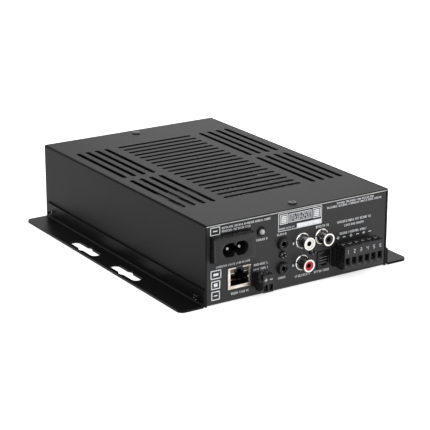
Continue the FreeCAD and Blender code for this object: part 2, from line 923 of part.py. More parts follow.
def optical_outline(y):
    """Outline of the optical mouth at a depth."""
    half = optical_mouth_width / 2
    low = board_top + optical_mouth_rise
    high = low + optical_mouth_tall
    cut = optical_mouth_chamfer
    right_side = [(half, high), (half, low + cut), (half - cut, low)]
    left_side = [(-across, z) for across, z in reversed(right_side)]
    return [V(optical_x + across, y, z) for across, z in right_side + left_side]


def hinge_point():
    """Middle of the shutter's hinge."""
    y = panel_face - optical_proud + optical_front_wall + shutter_gap + shutter_barrel_radius
    z = board_top + optical_mouth_rise + optical_mouth_tall + shutter_gap + shutter_barrel_radius
    return V(optical_x, y, z)


def optical_socket():
    """Socket body, the sprung shutter that closes its mouth, and the receiver behind."""
    x = optical_x
    y = (panel_face - optical_proud, panel_face - optical_proud + optical_deep)
    body = block(around(x, optical_width), y, (board_top, board_top + optical_tall))
    mouth = prism(optical_outline(y[0] - past), ALONG_Y * (optical_front_wall + 2 * past))
    hinge = hinge_point()
    hall_front = y[0] + optical_front_wall
    hall_back = hall_front + optical_cavity
    hall_half = optical_mouth_width / 2 + shutter_gap
    hall_top = hinge.z + shutter_barrel_radius + shutter_roof
    hall = block(around(x, 2 * hall_half), (hall_front, hall_back),
                 (board_top + optical_mouth_rise - shutter_gap, hall_top))
    reach = hall_half + shutter_trunnion_long
    bearing_radius = shutter_trunnion_radius + shutter_trunnion_gap
    bearing = rod(bearing_radius, hinge - ALONG_X * reach, hinge + ALONG_X * reach)
    axis = V(x, 0, optical_axis_height())
    chip_front = y[1] - receiver_thick
    chip_top = board_top + optical_tall - receiver_drop
    lens_room = receiver_lens_radius + seat_gap
    receiver_way = rod(lens_room, axis + ALONG_Y * (hall_back - past), axis + ALONG_Y * y[1])
    pocket = block(around(x, optical_mouth_width), (chip_front, y[1] + past), (board_top - past, chip_top))
    body = body.cut([mouth, hall, bearing, receiver_way, pocket])
    leaf_front = hall_front + shutter_gap
    leaf = prism(optical_outline(leaf_front), ALONG_Y * shutter_thickness)
    neck = block(around(x, optical_mouth_width), (leaf_front, leaf_front + shutter_thickness),
                 (hinge.z - shutter_gap - shutter_barrel_radius, hinge.z))
    half_way = ALONG_X * (optical_mouth_width / 2)
    barrel = rod(shutter_barrel_radius, hinge - half_way, hinge + half_way)
    pivot_half = reach - seat_gap
    trunnions = rod(shutter_trunnion_radius, hinge - ALONG_X * pivot_half, hinge + ALONG_X * pivot_half)
    ribs = []
    for number in range(shutter_ribs):
        z_rib = board_top + optical_mouth_rise + optical_mouth_tall * (number + 1) / (shutter_ribs + 1)
        wide = optical_mouth_width - 2 * optical_mouth_chamfer
        rib_y = (leaf_front - shutter_rib, leaf_front)
        ribs.append(block(around(x, wide), rib_y, around(z_rib, shutter_rib_tall)))
    shutter = joined([leaf, neck, barrel, trunnions] + ribs)
    chip = block(around(x, optical_mouth_width - 2 * seat_gap), (chip_front + seat_gap, y[1]),
                 (board_top, chip_top - seat_gap))
    lens = rod(receiver_lens_radius, axis + ALONG_Y * (chip_front - receiver_lens_long),
               axis + ALONG_Y * (chip_front + seat_gap))
    return body, shutter, joined([chip, lens])


def optical_axis_height():
    """Height of the light path above the surface."""
    return board_top + optical_mouth_rise + optical_mouth_tall / 2


class TerminalParts:
    """Solids of one plug-in screw terminal, laid out from its sizes."""

    def __init__(self, t):
        self.t = t
        self.middle = terminal_x[t.name]
        self.half = t.poles * t.pitch / 2
        self.pin_z = board_top + t.pin_rise
        self.header_front = panel_face - t.header_proud
        self.header_back = self.header_front + t.header_cavity + t.header_back
        self.body_back = self.header_front - t.plug_gap
        self.body_front = panel_face - t.reach
        self.screw_y = panel_face - t.screw_setback
        self.bar_under = self.pin_z - t.bar / 2
        self.wire_z = (self.bar_under - t.fit - t.wire_tall, self.bar_under - t.fit)
        self.cage_z = self.wire_z[0] - t.fit / 2 - t.cage_plate
        self.chamber_floor = self.cage_z - t.fit / 2
        self.bottom = self.chamber_floor - t.floor
        self.nut_z = self.pin_z + t.bar / 2 + 2 * t.fit
        self.ceiling = self.nut_z + t.nut + t.travel + t.fit
        self.head_z = self.ceiling + t.ledge + t.fit / 2
        self.top = self.head_z + t.head + t.head_recess
        self.poles_x = [self.middle + (n - (t.poles - 1) / 2) * t.pitch for n in range(t.poles)]
        self.tail_y = self.header_back + t.tail_setback

    def header(self):
        """Open box on the board, with the holes of its pins."""
        t = self.t
        outer = self.half + t.header_wall
        x = (self.middle - outer, self.middle + outer)
        z = (board_top, board_top + t.header_height)
        body = block(x, (self.header_front, self.header_back), z)
        room_y = (self.header_front - past, self.header_front + t.header_cavity)
        room = block(around(self.middle, 2 * self.half), room_y, (z[0] + t.header_wall, z[1] - t.header_wall))
        way_y = (self.header_front, self.header_back + past)
        ways = [self.square(x_pole, t.pin + 2 * thread_gap, way_y) for x_pole in self.poles_x]
        return body.cut([room] + ways)

    def square(self, x, size, y):
        """Square bar along Y on a pin's axis."""
        return block(around(x, size), y, around(self.pin_z, size))

    def pins(self):
        """Bent square pins from the header down through the board."""
        t = self.t
        tip = self.header_front + pin_tip_recess
        made = []
        for x in self.poles_x:
            level = self.square(x, t.pin, (tip, self.tail_y + t.pin / 2))
            down = block(around(x, t.pin), around(self.tail_y, t.pin), (board_under - pin_tail, self.pin_z))
            made.append(joined([level, down]))
        return made

    def plug(self):
        """Plug body with its wire entries, screw wells, cage chambers and contact channels."""
        t = self.t
        body_y = (self.body_front, self.body_back)
        body = block(around(self.middle, 2 * self.half), body_y, (self.bottom, self.top))
        body = rounded(body, corner_round, lambda e: e.BoundBox.YMax < self.body_front + closeness)
        rim = t.header_wall + t.tongue_fit
        z_tongue = (board_top + rim, board_top + t.header_height - rim)
        tongue_end = self.header_front + t.header_cavity - t.plug_gap
        tongue_x = around(self.middle, 2 * (self.half - t.tongue_fit))
        tongue = block(tongue_x, (self.body_back, tongue_end), z_tongue)
        body = joined([body, tongue])
        chamber_y = around(self.screw_y, t.cage_depth + 2 * t.fit)
        cuts = []
        for x in self.poles_x:
            chamber_x = around(x, t.cage_width + 2 * t.fit)
            cuts.append(block(chamber_x, chamber_y, (self.chamber_floor, self.ceiling)))
            axis = V(x, self.screw_y, 0)
            top = axis + ALONG_Z * (self.top + past)
            cuts.append(rod(t.shank_radius + t.fit, axis + ALONG_Z * (self.ceiling - past), top))
            cuts.append(rod(t.head_radius + t.fit, axis + ALONG_Z * (self.head_z - t.fit / 2), top))
            wire_y = (self.body_front - past, chamber_y[0] + past)
            cuts.append(block(around(x, t.wire_width), wire_y, self.wire_z))
            cuts.append(self.funnel(x))
            cuts.append(self.square(x, t.socket + 2 * seat_gap, (chamber_y[1] - past, tongue_end + past)))
        return body.cut(cuts)

    def funnel(self, x):
        """Tapered mouth of one wire entry."""
        t = self.t
        z = sum(self.wire_z) / 2
        def rectangle(wide, tall, y):
            signs = ((-1, -1), (1, -1), (1, 1), (-1, 1), (-1, -1))
            return Part.makePolygon([V(x + i * wide / 2, y, z + k * tall / 2) for i, k in signs])
        wide_end = rectangle(t.funnel_width, t.funnel_tall, self.body_front)
        narrow_end = rectangle(t.wire_width, t.wire_tall, self.body_front + t.funnel_deep)
        return Part.makeLoft([wide_end, narrow_end], True, True)

    def contacts(self):
        """Sprung sockets for the pins, each with the bar that its wire is clamped against."""
        t = self.t
        chamber_y = around(self.screw_y, t.cage_depth + 2 * t.fit)
        tongue_end = self.header_front + t.header_cavity - t.plug_gap
        made = []
        for x in self.poles_x:
            start = chamber_y[1] + t.fit
            inside = start + t.bar
            sleeve = self.square(x, t.socket, (start, tongue_end - t.plug_gap))
            bore = self.square(x, t.pin + 2 * t.fit, (inside, tongue_end))
            bar = block(around(x, t.bar_width), (chamber_y[0] + t.fit, inside), around(self.pin_z, t.bar))
            made.append(joined([sleeve.cut(bore), bar]))
        return made

    def screw(self, x):
        """Clamp screw with a straight driver slot."""
        t = self.t
        head = rod(t.head_radius, V(x, self.screw_y, self.head_z), V(x, self.screw_y, self.head_z + t.head))
        head = rounded(head, t.head_round, lambda e: e.BoundBox.ZMin > self.head_z + t.head - closeness)
        head_top = self.head_z + t.head
        slot = block(around(x, 3 * t.head_radius), around(self.screw_y, t.driver_slot),
                     (head_top - t.driver_depth, head_top + past))
        shank_end = self.pin_z + t.bar / 2 + t.fit / 2
        shank = rod(t.shank_radius, V(x, self.screw_y, shank_end), V(x, self.screw_y, self.head_z))
        return joined([head.cut(slot), shank])

    def clamp(self, x):
        """Rising cage: nut above, two sides and the plate that lifts the wire."""
        t = self.t
        y = around(self.screw_y, t.cage_depth)
        cage = block(around(x, t.cage_width), y, (self.cage_z, self.nut_z + t.nut))
        window = block(around(x, t.cage_width - 2 * t.cage_side), (y[0] - past, y[1] + past),
                       (self.cage_z + t.cage_plate, self.nut_z))
        nut = V(x, self.screw_y, self.nut_z)
        ends = nut - ALONG_Z * (t.travel + past), nut + ALONG_Z * (t.nut + past)
        thread = rod(t.shank_radius + thread_gap, *ends)
        return cage.cut([window, thread])


def lower_post_places():
    """X and Y of the posts between the tray and the main board."""
    rows = (near_post_row(), panel_back + board_front_gap + main_board_length - standoff_edge)
    columns = power_post_columns() + [board_half - standoff_edge]
    return [(x, y) for x in columns for y in rows] + [(x, upper_far_row()) for x in power_post_columns()]


def near_post_row():
    """Y of the posts nearest the connector panel."""
    return panel_back + board_front_gap + near_post_from_edge


def upper_far_row():
    """Y of the posts at the power board's far edge."""
    return panel_back + board_front_gap + power_board_length - standoff_edge


def power_post_columns():
    """X of the posts that carry the power board."""
    x = power_board_x()
    return [x[0] + standoff_edge, x[1] - standoff_edge]


def upper_post_places():
    """X and Y of the posts between the main board and the power board."""
    return [(x, y) for x in power_post_columns() for y in (near_post_row(), upper_far_row())]


def power_board_x():
    """X limits of the power board, which ends beside the infrared jacks."""
    start = -tray_half + sheet + power_board_left_gap
    return (start, infrared_x - infrared_block_width / 2 - power_board_right_gap)


def lead_hole(lead, x, y, under):
    """Round hole through a board for a square lead."""
    place = V(x, y, under - past)
    return rod(lead / math.sqrt(2) + lead_gap, place, place + ALONG_Z * (board_thickness + 2 * past))


def boards(terminals):
    """Main board and power board, drilled for posts, pins and leads."""
    y0 = panel_back + board_front_gap
    main = block((-board_half, board_half), (y0, y0 + main_board_length), (board_under, board_top))
    power = block(power_board_x(), (y0, y0 + power_board_length), (power_under, power_top))
    post_hole = standoff_bore + hole_gap
    low = board_under - past
    holes = [rod(post_hole, V(x, y, low), V(x, y, board_top + past)) for x, y in lower_post_places()]
    for parts in terminals:
        holes += [lead_hole(parts.t.pin, x, parts.tail_y, board_under) for x in parts.poles_x]
    low = power_under - past
    upper = [rod(post_hole, V(x, y, low), V(x, y, power_top + past)) for x, y in upper_post_places()]
    y_tail = panel_face + inlet_behind + (inlet_tail + seat_gap) / 2
    for side in (-1, 1):
        x_tail = inlet_x + side * inlet_pin_spacing / 2
        upper.append(lead_hole(inlet_tail, x_tail, y_tail, power_under))
    upper += [lead_hole(lamp_lead, x, y, power_under) for x, y in lamp_lead_places()]
    return main.cut(holes), power.cut(upper)


def standoffs():
    """Threaded posts under both boards. The upper ones screw into the lower ones through the main board."""
    posts = []
    for x, y in lower_post_places():
        post = hexagon(standoff_flats, V(x, y, sheet), board_under - sheet)
        posts.append(post.cut(rod(standoff_bore, V(x, y, 0), V(x, y, board_top))))
    for x, y in upper_post_places():
        post = hexagon(standoff_flats, V(x, y, board_top), power_under - board_top)
        post = post.cut(rod(standoff_bore, V(x, y, power_under - board_screw_length), V(x, y, power_top)))
        stud = rod(standoff_bore - thread_gap, V(x, y, board_under - standoff_stud), V(x, y, board_top))
        posts.append(joined([post, stud]))
    return posts


def board_screws():
    """Screws that hold the boards down on their posts."""
    upper = upper_post_places()
    alone = [place for place in lower_post_places() if place not in upper]
    sizes = (board_screw_head_radius, board_screw_head, board_screw_radius)
    short = board_under - sheet
    screws = [pan_screw(V(x, y, board_top), ALONG_Z, *sizes, short) for x, y in alone]
    screws += [pan_screw(V(x, y, power_top), ALONG_Z, *sizes, board_screw_length) for x, y in upper]
    return screws


def amplifier_parts():
    """Output chips, and the heat sink that bridges them on two feet, midway between its neighbours."""
    x = (power_board_x()[1] + at_right(can_from_right) - can_radius) / 2
    y = front + sink_from_front
    base_z = board_top + chip_thick
    chips = []
    for side in (-1, 1):
        middle = y + side * chip_spacing / 2
        chips.append(block(around(x, chip_width), around(middle, chip_depth), (board_top, base_z)))
    sides, ends = around(x, sink_width), around(y, sink_depth)
    base = block(sides, ends, (base_z, base_z + sink_base))
    step = (sink_width - sink_fin) / (sink_fins - 1)
    fins = []
    for number in range(sink_fins):
        start = sides[0] + number * step
        fins.append(block((start, start + sink_fin), ends, (base_z, base_z + sink_height)))
    feet = [block(sides, (ends[0], ends[0] + sink_foot), (board_top, base_z)),
            block(sides, (ends[1] - sink_foot, ends[1]), (board_top, base_z))]
    return chips, joined([base] + fins + feet)


def output_coils():
    """Wound output chokes, two for each channel."""
    coils = []
    for row in range(coil_rows):
        for column in range(coils_across):
            x = at_right(coil_from_right) - column * coil_pitch
            y = front + coil_from_front + row * coil_row_pitch
            foot = V(x, y, board_top)
            top = board_top + coil_height
            flanges = [rod(coil_radius, foot, foot + ALONG_Z * coil_flange),
                       rod(coil_radius, V(x, y, top - coil_flange), V(x, y, top))]
            coils.append(joined(flanges + [rod(coil_radius - coil_waist, foot, V(x, y, top))]))
    return coils


def filter_cans():
    """Reservoir capacitors standing in a row."""
    made = []
    for number in range(cans):
        foot = V(at_right(can_from_right), front + can_from_front + number * can_pitch, board_top)
        can = rod(can_radius, foot, foot + ALONG_Z * can_height)
        made.append(rounded(can, can_rim, lambda e: e.BoundBox.ZMin > board_top + can_height - closeness))
    return made


def transformer_parts():
    """Shell core, and the winding on its middle leg."""
    x, y = at_left(core_from_left), front + core_from_front
    z = (power_top, power_top + core_height)
    window_z = (z[0] + core_yoke, z[1] - core_yoke)
    window = block(around(x, core_width - 2 * core_leg), around(y, core_depth), window_z)
    leg = block(around(x, core_leg), around(y, core_thick), z)
    core = block(around(x, core_width), around(y, core_thick), z).cut(window.cut(leg))
    gap = 2 * winding_gap
    winding = block(around(x, core_width - 2 * core_leg - gap), around(y, core_depth),
                    (window_z[0] + winding_gap, window_z[1] - winding_gap))
    winding = rounded(winding, winding_round, lambda e: runs(e, ALONG_Z))
    return [core, winding.cut(block(around(x, core_leg + gap), around(y, core_thick + gap), z))]


def film_capacitor():
    """Moulded capacitor across the mains."""
    z = (power_top, power_top + film_height)
    x, y = at_left(film_from_left), front + film_from_front
    body = block(around(x, film_width), around(y, film_depth), z)
    return rounded(body, film_corner, lambda e: runs(e, ALONG_Z) or e.BoundBox.ZMin > z[1] - closeness)


def board_link():
    """Pin strip between the boards: a strip on each, and the pins that join them."""
    x, y = power_board_x()[1] - link_from_edge, front + link_from_front
    lower, upper = board_top + link_strip, power_under - link_strip
    sides, ends = around(x, link_width), around(y, link_length)
    pieces = [block(sides, ends, (board_top, lower)), block(sides, ends, (upper, power_under))]
    pitch = link_length / (link_pins + 1)
    for row in range(link_rows):
        x_pin = x + (row - (link_rows - 1) / 2) * link_width / link_rows
        for number in range(link_pins):
            y_pin = y + (number - (link_pins - 1) / 2) * pitch
            pieces.append(block(around(x_pin, link_pin), around(y_pin, link_pin), (lower, upper)))
    return pieces


def wireless_module():
    """Small radio board with a screening lid, lying on the main board."""
    x = at_left(wireless_from_left)
    y = panel_back + board_front_gap + main_board_length - wireless_from_board_end
    base_z = (board_top, board_top + wireless_board)
    base = block(around(x, wireless_width), around(y, wireless_depth), base_z)
    lid_y = (y - wireless_depth / 2 + wireless_lid_inset, y + wireless_depth / 2 - wireless_antenna)
    lid_x = around(x, wireless_width - 2 * wireless_lid_inset)
    lid = block(lid_x, lid_y, (board_top, board_top + wireless_height))
    return joined([base, rounded(lid, corner_round, lambda e: runs(e, ALONG_Z))])


def save(name, shapes):
    """Write one node, made of one or more solids."""
    solids = shapes if isinstance(shapes, list) else [shapes]
    for solid in solids:
        if not solid.isValid() or solid.Volume <= 0:
            print("check the solid in", name)
    whole = solids[0] if len(solids) == 1 else Part.makeCompound(solids)
    whole.exportStep(os.path.join("parts", name + ".step"))


def main():
    """Build every piece and write it out."""
    os.makedirs("parts", exist_ok=True)
    save("base_tray", base_tray())
    save("top_cover", top_cover())
    bracket = left_bracket()
    save("left_bracket", bracket)
    save("right_bracket", bracket.mirror(V(0, 0, 0), ALONG_X))
    in_brackets, in_cover, in_panel = case_screws()
    save("bracket_screws", in_brackets)
    save("cover_screws", in_cover)
    save("panel_screws", in_panel)

    inlet, inlet_pins = mains_inlet()
    save("inlet_body", inlet)
    save("inlet_pins", inlet_pins)
    shield, insert, lamps, network_springs = network_jack()
    save("network_jack_shield", shield)
    save("network_jack_insert", insert)
    save("network_jack_lamps", lamps)
    bezel, lamp = status_lamp()
    save("status_lamp_bezel", bezel)
    save("status_lamp", lamp)
    infrared, infrared_springs = infrared_jacks()
    save("infrared_jacks", infrared)
    housing, shells, inserts, phono_contacts = phono_jacks()
    save("phono_jack_block", housing)
    save("phono_jack_shells", shells)
    for colour, solid in inserts.items():
        save("phono_insert_" + colour, solid)
    save("jack_contacts", network_springs + infrared_springs + phono_contacts)
    socket, shutter, receiver = optical_socket()
    save("optical_socket", socket)
    save("optical_shutter", shutter)
    save("optical_receiver", receiver)

    terminals = [TerminalParts(speaker), TerminalParts(trigger)]
    header_pins = []
    for parts in terminals:
        name = parts.t.name
        save(name + "_header", parts.header())
        header_pins += parts.pins()
        save(name + "_plug", parts.plug())
        save(name + "_plug_contacts", parts.contacts())
        for number, x in enumerate(parts.poles_x, start=1):
            save(f"{name}_screw_{number}", parts.screw(x))
            save(f"{name}_clamp_{number}", parts.clamp(x))
    save("header_pins", header_pins)

    main_board, power_board = boards(terminals)
    save("main_board", main_board)
    save("power_board", power_board)
    save("board_standoffs", standoffs())
    save("board_screws", board_screws())
    chips, sink = amplifier_parts()
    save("amplifier_chips", chips)
    save("heat_sink", sink)
    save("output_coils", output_coils())
    save("filter_capacitors", filter_cans())
    save("transformer", transformer_parts())
    save("mains_capacitor", film_capacitor())
    save("board_link", board_link())
    save("wireless_module", wireless_module())


main()
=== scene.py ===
"""Looks for a compact stereo amplifier: finishes, detailed pieces, print, floor, light and camera.

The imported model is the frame. Sizes are in millimetres and become metres when a mesh is finished.
"""

import logging
import math
import random
from dataclasses import asdict, dataclass, field
from enum import Enum
from functools import cache

import bmesh
import bpy
from mathutils import Matrix, Vector


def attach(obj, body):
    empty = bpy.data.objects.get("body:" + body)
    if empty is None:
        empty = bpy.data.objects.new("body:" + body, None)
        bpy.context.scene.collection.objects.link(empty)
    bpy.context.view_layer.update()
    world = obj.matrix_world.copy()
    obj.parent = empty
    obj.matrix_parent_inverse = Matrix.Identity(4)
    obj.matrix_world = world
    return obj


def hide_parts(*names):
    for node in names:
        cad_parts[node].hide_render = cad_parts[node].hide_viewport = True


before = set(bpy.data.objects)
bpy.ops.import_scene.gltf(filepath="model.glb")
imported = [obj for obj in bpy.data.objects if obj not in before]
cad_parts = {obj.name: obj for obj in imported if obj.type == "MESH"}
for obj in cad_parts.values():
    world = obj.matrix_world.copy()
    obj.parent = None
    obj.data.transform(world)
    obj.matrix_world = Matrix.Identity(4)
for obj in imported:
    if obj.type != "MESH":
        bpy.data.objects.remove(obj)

MM = 0.001
CREASE = math.radians(32.0)  # a smooth piece keeps its edges that are sharper than this
SHARP = math.radians(40.0)  # edges turned by more than this are rounded
LOG = logging.getLogger("amplifier")

Colour = tuple[float, float, float]
Place = tuple[float, float, float]
Flat = tuple[float, float]
Section = tuple[Flat, ...] | list[Flat]
Solid = tuple[Vector, Vector]
Socket = bpy.types.NodeSocket
Feed = Socket | float | int | bool | tuple | list | str | None


class Way(Enum):
    """Directions that a piece can face."""

    OUT = (0.0, -1.0, 0.0)
    UP = (0.0, 0.0, 1.0)
    LEFT = (-1.0, 0.0, 0.0)
    RIGHT = (1.0, 0.0, 0.0)

    def turn(self) -> Matrix:
        """The turn that points +Z this way."""
        return Vector(self.value).to_track_quat("Z", "Y").to_matrix()

    def seat(self, centre: Place) -> Matrix:
        """The same turn, with the origin moved to a centre."""
        return Matrix.Translation(Vector(centre)) @ self.turn().to_4x4()


class Body(Enum):
    """Rigid bodies of the frame that pieces ride on, besides each clamp screw's own."""

    CHASSIS = "chassis"
    SPEAKER_PLUG = "speaker_plug"
    TRIGGER_PLUG = "trigger_plug"
    SHUTTER = "optical_shutter"


class Tree:
    """A node tree while it is put together."""

    prefix: str = "ShaderNode"

    def __init__(self, tree: bpy.types.NodeTree) -> None:
        """Keep the tree that the nodes go into."""
        self.tree = tree

    def add(self, kind: str, feeds: dict[str | int, Feed] | None = None, **settings: Feed) -> bpy.types.Node:
        """Add a node.

        Args:
            kind: the node's type, which needs no prefix where it is the tree's own.
            feeds: what goes into its inputs, by name or number.
            settings: its own properties.

        Returns:
            The node.
        """
        node = self.tree.nodes.new(kind if "Node" in kind else self.prefix + kind)
        for key, value in settings.items():
            setattr(node, key, value)
        for key, value in (feeds or {}).items():
            for part in value if isinstance(value, list) else [value]:
                self.feed(node.inputs[key], part)
        return node

    def out(self, kind: str, feeds: dict[str | int, Feed] | None = None, **settings: Feed) -> Socket:
        """Add a node, and pass on its first output."""
        return self.add(kind, feeds, **settings).outputs[0]

    def feed(self, socket: Socket, value: Feed) -> None:
        """Link or set one input.

        Args:
            socket: the input.
            value: an output to link, or a constant.
        """
        if isinstance(value, bpy.types.NodeSocket):
            self.tree.links.new(value, socket)
        else:
            socket.default_value = value

    def calc(self, operation: str, *parts: Feed) -> Socket:
        """The result of a Math node."""
        return self.out("ShaderNodeMath", dict(enumerate(parts)), operation=operation)

    def times(self, first: Feed, second: Feed) -> Socket:
        """The product of two values."""
        return self.calc("MULTIPLY", first, second)

    def seen(self) -> Socket:
        """Tell what is looked at from what gives light.

        Returns:
            1 for rays from the camera, off a mirror or through glass, 0 for the rest.
        """
        rays = self.add("LightPath").outputs
        looked = self.calc("MAXIMUM", rays["Is Camera Ray"], rays["Is Glossy Ray"])
        return self.calc("MAXIMUM", looked, rays["Is Transmission Ray"])


class Graph(Tree):
    """A material's shader nodes while they are put together."""

    def __init__(self, name: str) -> None:
        """Start a material.

        Args:
            name: the material's name.
        """
        self.material = bpy.data.materials.new(name)
        self.material.use_nodes = True
        super().__init__(self.material.node_tree)
        self.shader = self.tree.nodes["Principled BSDF"]
        self.place = self.add("TexCoord").outputs["Object"]

    def noise(self, size: float, detail: float = 2.0, stretch: Place = (1.0, 1.0, 1.0)) -> Socket:
        """Noise in the object's own coordinates.

        Args:
            size: width of one blotch in millimetres.
            detail: octaves.
            stretch: how much finer it is along each axis.

        Returns:
            Its value, about a half on average.
        """
        spot = self.out("Mapping", {"Vector": self.place, "Scale": stretch})
        return self.out("TexNoise", {"Vector": spot, "Scale": 1 / (size * MM), "Detail": detail})

    def cells(self, size: float, spread: float = 1.0, **settings: str) -> Socket:
        """Cells in the object's own coordinates.

        Args:
            size: width of one cell in millimetres.
            spread: how irregular they are.
            settings: how the distance is measured.

        Returns:
            The distance from a cell's middle.
        """
        feeds = {"Vector": self.place, "Scale": 1 / (size * MM), "Randomness": spread}
        return self.out("TexVoronoi", feeds, **settings)

    def between(self, value: Socket, low: float, high: float, start: float = 0.3, end: float = 0.7) -> Socket:
        """Map a value onto a range, kept inside it.

        Args:
            value: what is mapped.
            low: result at start.
            high: result at end.
            start: lower end of what comes in.
            end: upper end of what comes in.

        Returns:
            The mapped value.
        """
        feeds = {"Value": value, "From Min": start, "From Max": end, "To Min": low, "To Max": high}
        return self.out("MapRange", feeds)

    def mixed(self, share: Socket, first: Colour | Socket, second: Colour | Socket) -> Socket:
        """Blend two colours.

        Args:
            share: how much of the second, from 0 to 1.
            first: colour at 0.
            second: colour at 1.

        Returns:
            The blended colour.
        """
        node = self.add("Mix", {0: share}, data_type="RGBA")
        for socket, value in ((node.inputs[6], first), (node.inputs[7], second)):
            self.feed(socket, value if isinstance(value, bpy.types.NodeSocket) else (*value, 1.0))
        return node.outputs[2]

    def raised(self, height: Socket, depth: float, under: Socket | None = None) -> Socket:
        """A bumped normal.

        Args:
            height: the relief.
            depth: its depth in millimetres.
            under: a normal that it adds to.

        Returns:
            The normal.
        """
        node = self.add("Bump", {"Height": height, "Distance": depth * MM, "Strength": 1.0})
        if under is not None:
            self.feed(node.inputs["Normal"], under)
        return node.outputs["Normal"]

    def surface(self, colour: Socket, roughness: Socket, normal: Socket) -> None:
        """Feed what every finish has.

        Args:
            colour: its colour.
            roughness: its roughness.
            normal: its relief.
        """
        for label, value in (("Base Color", colour), ("Roughness", roughness), ("Normal", normal)):
            self.feed(self.shader.inputs[label], value)


@dataclass(frozen=True)
class Finish:
    """A plain finish with a fine grain, slight blotches of shade and a range of roughness as its gloss."""

    name: str
    colour: Colour
    shade: Colour
    gloss: Flat = (0.35, 0.45)
    grain: float = 0.25
    relief: float = 0.004
    blotch: float = 9.0
    metallic: float = 0.0
    specular: float = 0.5
    stretch: Place = (1.0, 1.0, 1.0)

    def material(self) -> bpy.types.Material:
        """Make the finish's material, or find it where it is already made.

        Returns:
            The material. Its name differs from those of the frame's own materials.
        """
        name = "look_" + self.name
        if name in bpy.data.materials:
            return bpy.data.materials[name]
        graph = Graph(name)
        graph.shader.inputs["Metallic"].default_value = self.metallic
        graph.shader.inputs["Specular IOR Level"].default_value = self.specular
        self.dress(graph)
        return graph.material

    def blotched(self, graph: Graph, detail: float = 3.0) -> Socket:
        """The colour with its blotches of shade."""
        cloud = graph.between(graph.noise(self.blotch, detail), 0.0, 1.0)
        return graph.mixed(cloud, self.colour, self.shade)

    def dress(self, graph: Graph) -> None:
        """Add colour, roughness and relief.

        Args:
            graph: the material being built.
        """
        gloss = graph.between(graph.noise(self.blotch / 3, 3.0), *self.gloss)
        fine = graph.noise(self.grain, 3.0, self.stretch)
        graph.surface(self.blotched(graph), gloss, graph.raised(fine, self.relief))


@dataclass(frozen=True)
class Metal(Finish):
    """Bare or plated metal."""

    metallic: float = 1.0


@dataclass(frozen=True)
class PowderCoat(Finish):
    """Baked powder coat on sheet steel: satin, with a fine pebbled skin and paler flecks."""

    grain: float = 0.3
    relief: float = 0.02
    blotch: float = 40.0
    pebble: float = 0.55
    fleck: float = 2.4

    def dress(self, graph: Graph) -> None:
        """Add colour, roughness and the pebbled relief.

        Args:
            graph: the material being built.
        """
        fine = graph.noise(self.grain, 4.0)
        flecks = graph.between(fine, 0.0, 1.0, 0.62, 0.72)
        paler = tuple(self.fleck * part for part in self.shade)
        skin = graph.raised(graph.cells(self.pebble, feature="SMOOTH_F1"), self.relief)
        graph.surface(graph.mixed(flecks, self.blotched(graph), paler), graph.between(fine, *self.gloss),
                      graph.raised(fine, self.relief / 2, skin))


@dataclass(frozen=True)
class Laminate(Finish):
    """Board laminate under solder mask: copper tracks show through it, with tinned pads."""

    track: float = 1.6
    pad: Colour = (0.62, 0.62, 0.6)

    def dress(self, graph: Graph) -> None:
        """Add mask, tracks and pads.

        Args:
            graph: the material being built.
        """
        lanes = graph.cells(self.track * 4, 0.7, feature="F1", distance="MANHATTAN")
        tracks = graph.between(graph.calc("FRACT", graph.times(lanes, 9.0)), 0.0, 1.0, 0.48, 0.52)
        pads = graph.between(graph.cells(self.track * 2.2), 1.0, 0.0, 0.14, 0.17)
        mask = graph.mixed(tracks, self.colour, self.shade)
        gloss = graph.between(graph.noise(self.blotch, 2.0), *self.gloss)
        graph.surface(graph.mixed(pads, mask, self.pad), gloss, graph.raised(tracks, self.relief))


@dataclass(frozen=True)
class Wrapped(Finish):
    """Tape or wire laid in turns round an upright winding."""

    turn: float = 1.1
    seam: Colour = (0.3, 0.2, 0.02)

    def dress(self, graph: Graph) -> None:
        """Add the turns and their seams.

        Args:
            graph: the material being built.
        """
        height = graph.add("SeparateXYZ", {0: graph.place}).outputs["Z"]
        wave = graph.calc("SINE", graph.times(height, math.tau / (self.turn * MM)))
        seams = graph.between(wave, 1.0, 0.0, -1.0, -0.8)
        gloss = graph.between(graph.noise(self.blotch / 3), *self.gloss)
        graph.surface(graph.mixed(seams, self.blotched(graph, 2.0), self.seam), gloss,
                      graph.raised(wave, self.relief))


@dataclass(frozen=True)
class Lens(Finish):
    """Clear or diffused moulded lens."""

    clear: float = 0.6

    def dress(self, graph: Graph) -> None:
        """Add the lens's body colour and let light into it."""
        super().dress(graph)
        graph.shader.inputs["Transmission Weight"].default_value = self.clear


